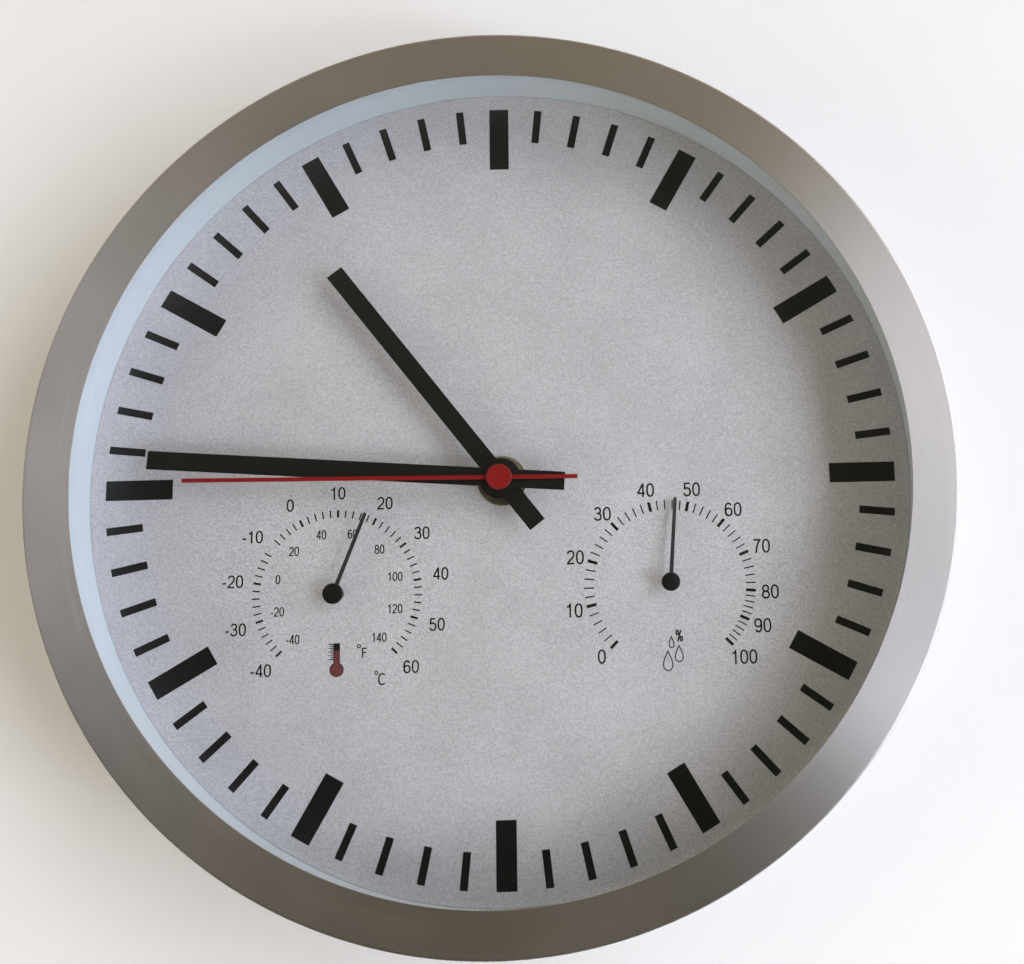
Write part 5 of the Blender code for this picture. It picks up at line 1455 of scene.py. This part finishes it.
def lamp(name, power, way, distance, size, colour, mirrored):
    """A soft rectangular lamp that faces the dial's centre."""
    data = bpy.data.lights.new(name, "AREA")
    data.shape = "RECTANGLE"
    data.size, data.size_y = size
    data.energy = power
    data.color = colour
    obj = linked(name, data)
    way = Vector(way).normalized()
    obj.location = Vector((0, 0, DIAL_RISE)) + way * distance
    obj.rotation_euler = way.to_track_quat("Z", "Y").to_euler()
    obj.visible_camera = False
    obj.visible_glossy = mirrored


def plane(name, matrix, material, mirrored=True):
    """A flat sheet of the stage."""
    build = bmesh.new()
    bmesh.ops.create_grid(build, x_segments=1, y_segments=1, size=ROOM_HALF)
    mesh = bpy.data.meshes.new(name)
    build.to_mesh(mesh)
    build.free()
    mesh.materials.append(material)
    obj = linked(name, mesh)
    obj.matrix_world = matrix
    obj.visible_glossy = mirrored


def wall_paint(name, colour, kind):
    """Matt or glowing wall that shows only from its front, so that the clock's back can be seen and lit."""
    made, tree = blank(bpy.data.materials, name)
    rays = add(tree, "LightPath").outputs
    seen = maths(tree, "MAXIMUM", rays["Is Camera Ray"], rays["Is Glossy Ray"])
    seen = maths(tree, "MAXIMUM", seen, rays["Is Transmission Ray"])
    front = maths(tree, "SUBTRACT", 1.0, add(tree, "NewGeometry").outputs["Backfacing"])
    shown = maths(tree, "MULTIPLY", seen, front)
    dark = [channel * WALL_SHADE for channel in colour]
    paint = add(tree, kind, {"Color": tinted(tree, grain(tree, "cloud", WALL_PATCH), dark, colour)})
    between_shaders(tree, shown, add(tree, "BsdfTransparent"), paint)
    return made


def make_room(stage):
    """World light: warmer and brighter above the horizon than below it, and brighter to the right."""
    bpy.context.scene.world, tree = blank(bpy.data.worlds, "room")
    way = add(tree, "TexCoord").outputs["Generated"]
    across, _, up = add(tree, "SeparateXYZ", {0: way}).outputs
    colour = tinted(tree, ranged(tree, up, (-HORIZON_REACH, HORIZON_REACH)), stage.ground, stage.sky)
    dim = ranged(tree, vectors(tree, "DOT_PRODUCT", way, DARK_WAY), DARK_EDGES, (1.0, DARK_SHARE))
    lift = ranged(tree, across, (-SIDE_REACH, SIDE_REACH), SIDE_SHARES)
    light = add(tree, "Background", {"Color": colour, "Strength": maths(tree, "MULTIPLY", dim, lift)})
    add(tree, "OutputWorld", {"Surface": light.outputs[0]})


def make_camera(stage):
    """The camera that the photograph was solved for."""
    data = bpy.data.cameras.new("photo_view")
    data.sensor_width = SENSOR_WIDTH
    data.lens = stage.lens
    data.shift_x, data.shift_y = CAMERA_SHIFT
    data.clip_start = NEAR_CLIP
    camera = linked("photo_view", data)
    camera.location = CAMERA_PLACE
    camera.rotation_euler = Euler([math.radians(angle) for angle in CAMERA_DEGREES], "XYZ")
    bpy.context.scene.camera = camera


def make_stage(stage):
    """Camera, lamps, room, floor, wall and the room's other sides."""
    bpy.context.scene.view_settings.view_transform = "Standard"
    make_camera(stage)
    make_room(stage)
    for name, (power, *row) in LAMPS.items():
        lamp(name, getattr(stage, power), *row)
    floor_paint = surface("floor_paint", stage.backdrop, *FLOOR_FINISH)
    level = DIAL_RISE - FLOOR_DROP
    plane("floor", Matrix.Translation((0, 0, level)), floor_paint, False)
    rise = level + ROOM_HALF
    plane("wall", Matrix.Translation((0, WALL_GAP, rise)) @ UPRIGHT,
          wall_paint("wall_paint", stage.backdrop, "BsdfDiffuse"))
    glow = wall_paint("pale_background", stage.backdrop, "Emission")
    for name, heading in OTHER_SIDES.items():
        turn = Matrix.Rotation(math.radians(heading), 4, "Z")
        plane(name, turn @ Matrix.Translation((0, ROOM_HALF, rise)) @ UPRIGHT, glow, False)


# Operators


class WALLCLOCK_OT_finishes(bpy.types.Operator):
    """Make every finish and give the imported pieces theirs"""
    bl_idname = "wall_clock.finishes"
    bl_label = "Finishes"

    def execute(self, context):
        make_finishes(context.scene.wall_clock_colours)
        dress_packed_nodes()
        return {"FINISHED"}


class WALLCLOCK_OT_stage(bpy.types.Operator):
    """Set up camera, lamps, wall and floor"""
    bl_idname = "wall_clock.stage"
    bl_label = "Stage"

    def execute(self, context):
        make_stage(context.scene.wall_clock_stage)
        return {"FINISHED"}


class WALLCLOCK_OT_case(bpy.types.Operator):
    """Make the brushed rim, its screws, the white ring and the glass seal"""
    bl_idname = "wall_clock.case"
    bl_label = "Case"

    def execute(self, context):
        sizes = context.scene.wall_clock_sizes
        make_rim(sizes)
        make_rim_screws()
        make_ring()
        make_seal()
        return {"FINISHED"}


class WALLCLOCK_OT_dial(bpy.types.Operator):
    """Make the silver dial"""
    bl_idname = "wall_clock.dial"
    bl_label = "Dial"

    def execute(self, context):
        make_dial()
        return {"FINISHED"}


class WALLCLOCK_OT_marks(bpy.types.Operator):
    """Print the minute and hour marks"""
    bl_idname = "wall_clock.marks"
    bl_label = "Minute and hour marks"

    def execute(self, context):
        print_marks(context.scene.wall_clock_sizes)
        return {"FINISHED"}


class WALLCLOCK_OT_thermometer(bpy.types.Operator):
    """Print the thermometer's scale and make its pointer"""
    bl_idname = "wall_clock.thermometer"
    bl_label = "Thermometer"

    def execute(self, context):
        print_thermometer(context.scene.wall_clock_sizes)
        make_pointer("thermometer")
        return {"FINISHED"}


class WALLCLOCK_OT_hygrometer(bpy.types.Operator):
    """Print the hygrometer's scale and make its pointer"""
    bl_idname = "wall_clock.hygrometer"
    bl_label = "Hygrometer"

    def execute(self, context):
        print_hygrometer(context.scene.wall_clock_sizes)
        make_pointer("hygrometer")
        return {"FINISHED"}


class WALLCLOCK_OT_centre(bpy.types.Operator):
    """Make the brass washer, nut and bush"""
    bl_idname = "wall_clock.centre"
    bl_label = "Brass fixings"

    def execute(self, context):
        make_washer()
        make_nut()
        make_bush(context.scene.wall_clock_sizes)
        return {"FINISHED"}


class WALLCLOCK_OT_hands(bpy.types.Operator):
    """Make the hour, minute and second hand and the red cap"""
    bl_idname = "wall_clock.hands"
    bl_label = "Hands"

    def execute(self, context):
        make_hand("hour_hand", "black_hand")
        make_hand("minute_hand", "black_hand")
        make_hand("second_hand", "red_hand")
        make_cap()
        return {"FINISHED"}


class WALLCLOCK_OT_back(bpy.types.Operator):
    """Make the back panel, the keyhole plate and their screws"""
    bl_idname = "wall_clock.back"
    bl_label = "Back"

    def execute(self, context):
        make_panel()
        make_panel_screws()
        make_hanger()
        make_hanger_screws()
        return {"FINISHED"}


class WALLCLOCK_OT_movement(bpy.types.Operator):
    """Make the movement's case, buttons and battery, and the instruments' coils"""
    bl_idname = "wall_clock.movement"
    bl_label = "Movement"

    def execute(self, context):
        make_movement()
        make_buttons()
        make_battery()
        make_strips()
        return {"FINISHED"}


OPERATORS = (WALLCLOCK_OT_finishes, WALLCLOCK_OT_stage, WALLCLOCK_OT_case, WALLCLOCK_OT_dial,
             WALLCLOCK_OT_marks, WALLCLOCK_OT_thermometer, WALLCLOCK_OT_hygrometer, WALLCLOCK_OT_centre,
             WALLCLOCK_OT_hands, WALLCLOCK_OT_back, WALLCLOCK_OT_movement)


class WALLCLOCK_PT_panel(bpy.types.Panel):
    """Lists the clock's pieces and their settings"""
    bl_idname = "WALLCLOCK_PT_panel"
    bl_label = "Wall Clock"
    bl_space_type = "VIEW_3D"
    bl_region_type = "UI"
    bl_category = "Wall Clock"

    def draw(self, context):
        for operator in OPERATORS:
            self.layout.operator(operator.bl_idname)
        for group in SETTINGS:
            settings = getattr(context.scene, group)
            box = self.layout.box()
            for name in settings.__annotations__:
                box.prop(settings, name)


SETTINGS = {"wall_clock_sizes": WallClockSizes, "wall_clock_colours": WallClockColours,
            "wall_clock_stage": WallClockStage}


def register():
    """Add the settings, the operators and the panel to Blender."""
    for name, group in SETTINGS.items():
        bpy.utils.register_class(group)
        setattr(bpy.types.Scene, name, PointerProperty(type=group))
    for operator in OPERATORS:
        bpy.utils.register_class(operator)
    bpy.utils.register_class(WALLCLOCK_PT_panel)


def unregister():
    """Take them away again."""
    bpy.utils.unregister_class(WALLCLOCK_PT_panel)
    for operator in reversed(OPERATORS):
        bpy.utils.unregister_class(operator)
    for name, group in SETTINGS.items():
        delattr(bpy.types.Scene, name)
        bpy.utils.unregister_class(group)


def main():
    """Dress the clock."""
    register()
    bpy.ops.wall_clock.finishes()
    bpy.ops.wall_clock.stage()
    bpy.ops.wall_clock.case()
    bpy.ops.wall_clock.dial()
    bpy.ops.wall_clock.marks()
    bpy.ops.wall_clock.thermometer()
    bpy.ops.wall_clock.hygrometer()
    bpy.ops.wall_clock.centre()
    bpy.ops.wall_clock.hands()
    bpy.ops.wall_clock.back()
    bpy.ops.wall_clock.movement()


if __name__ == "__main__":
    main()
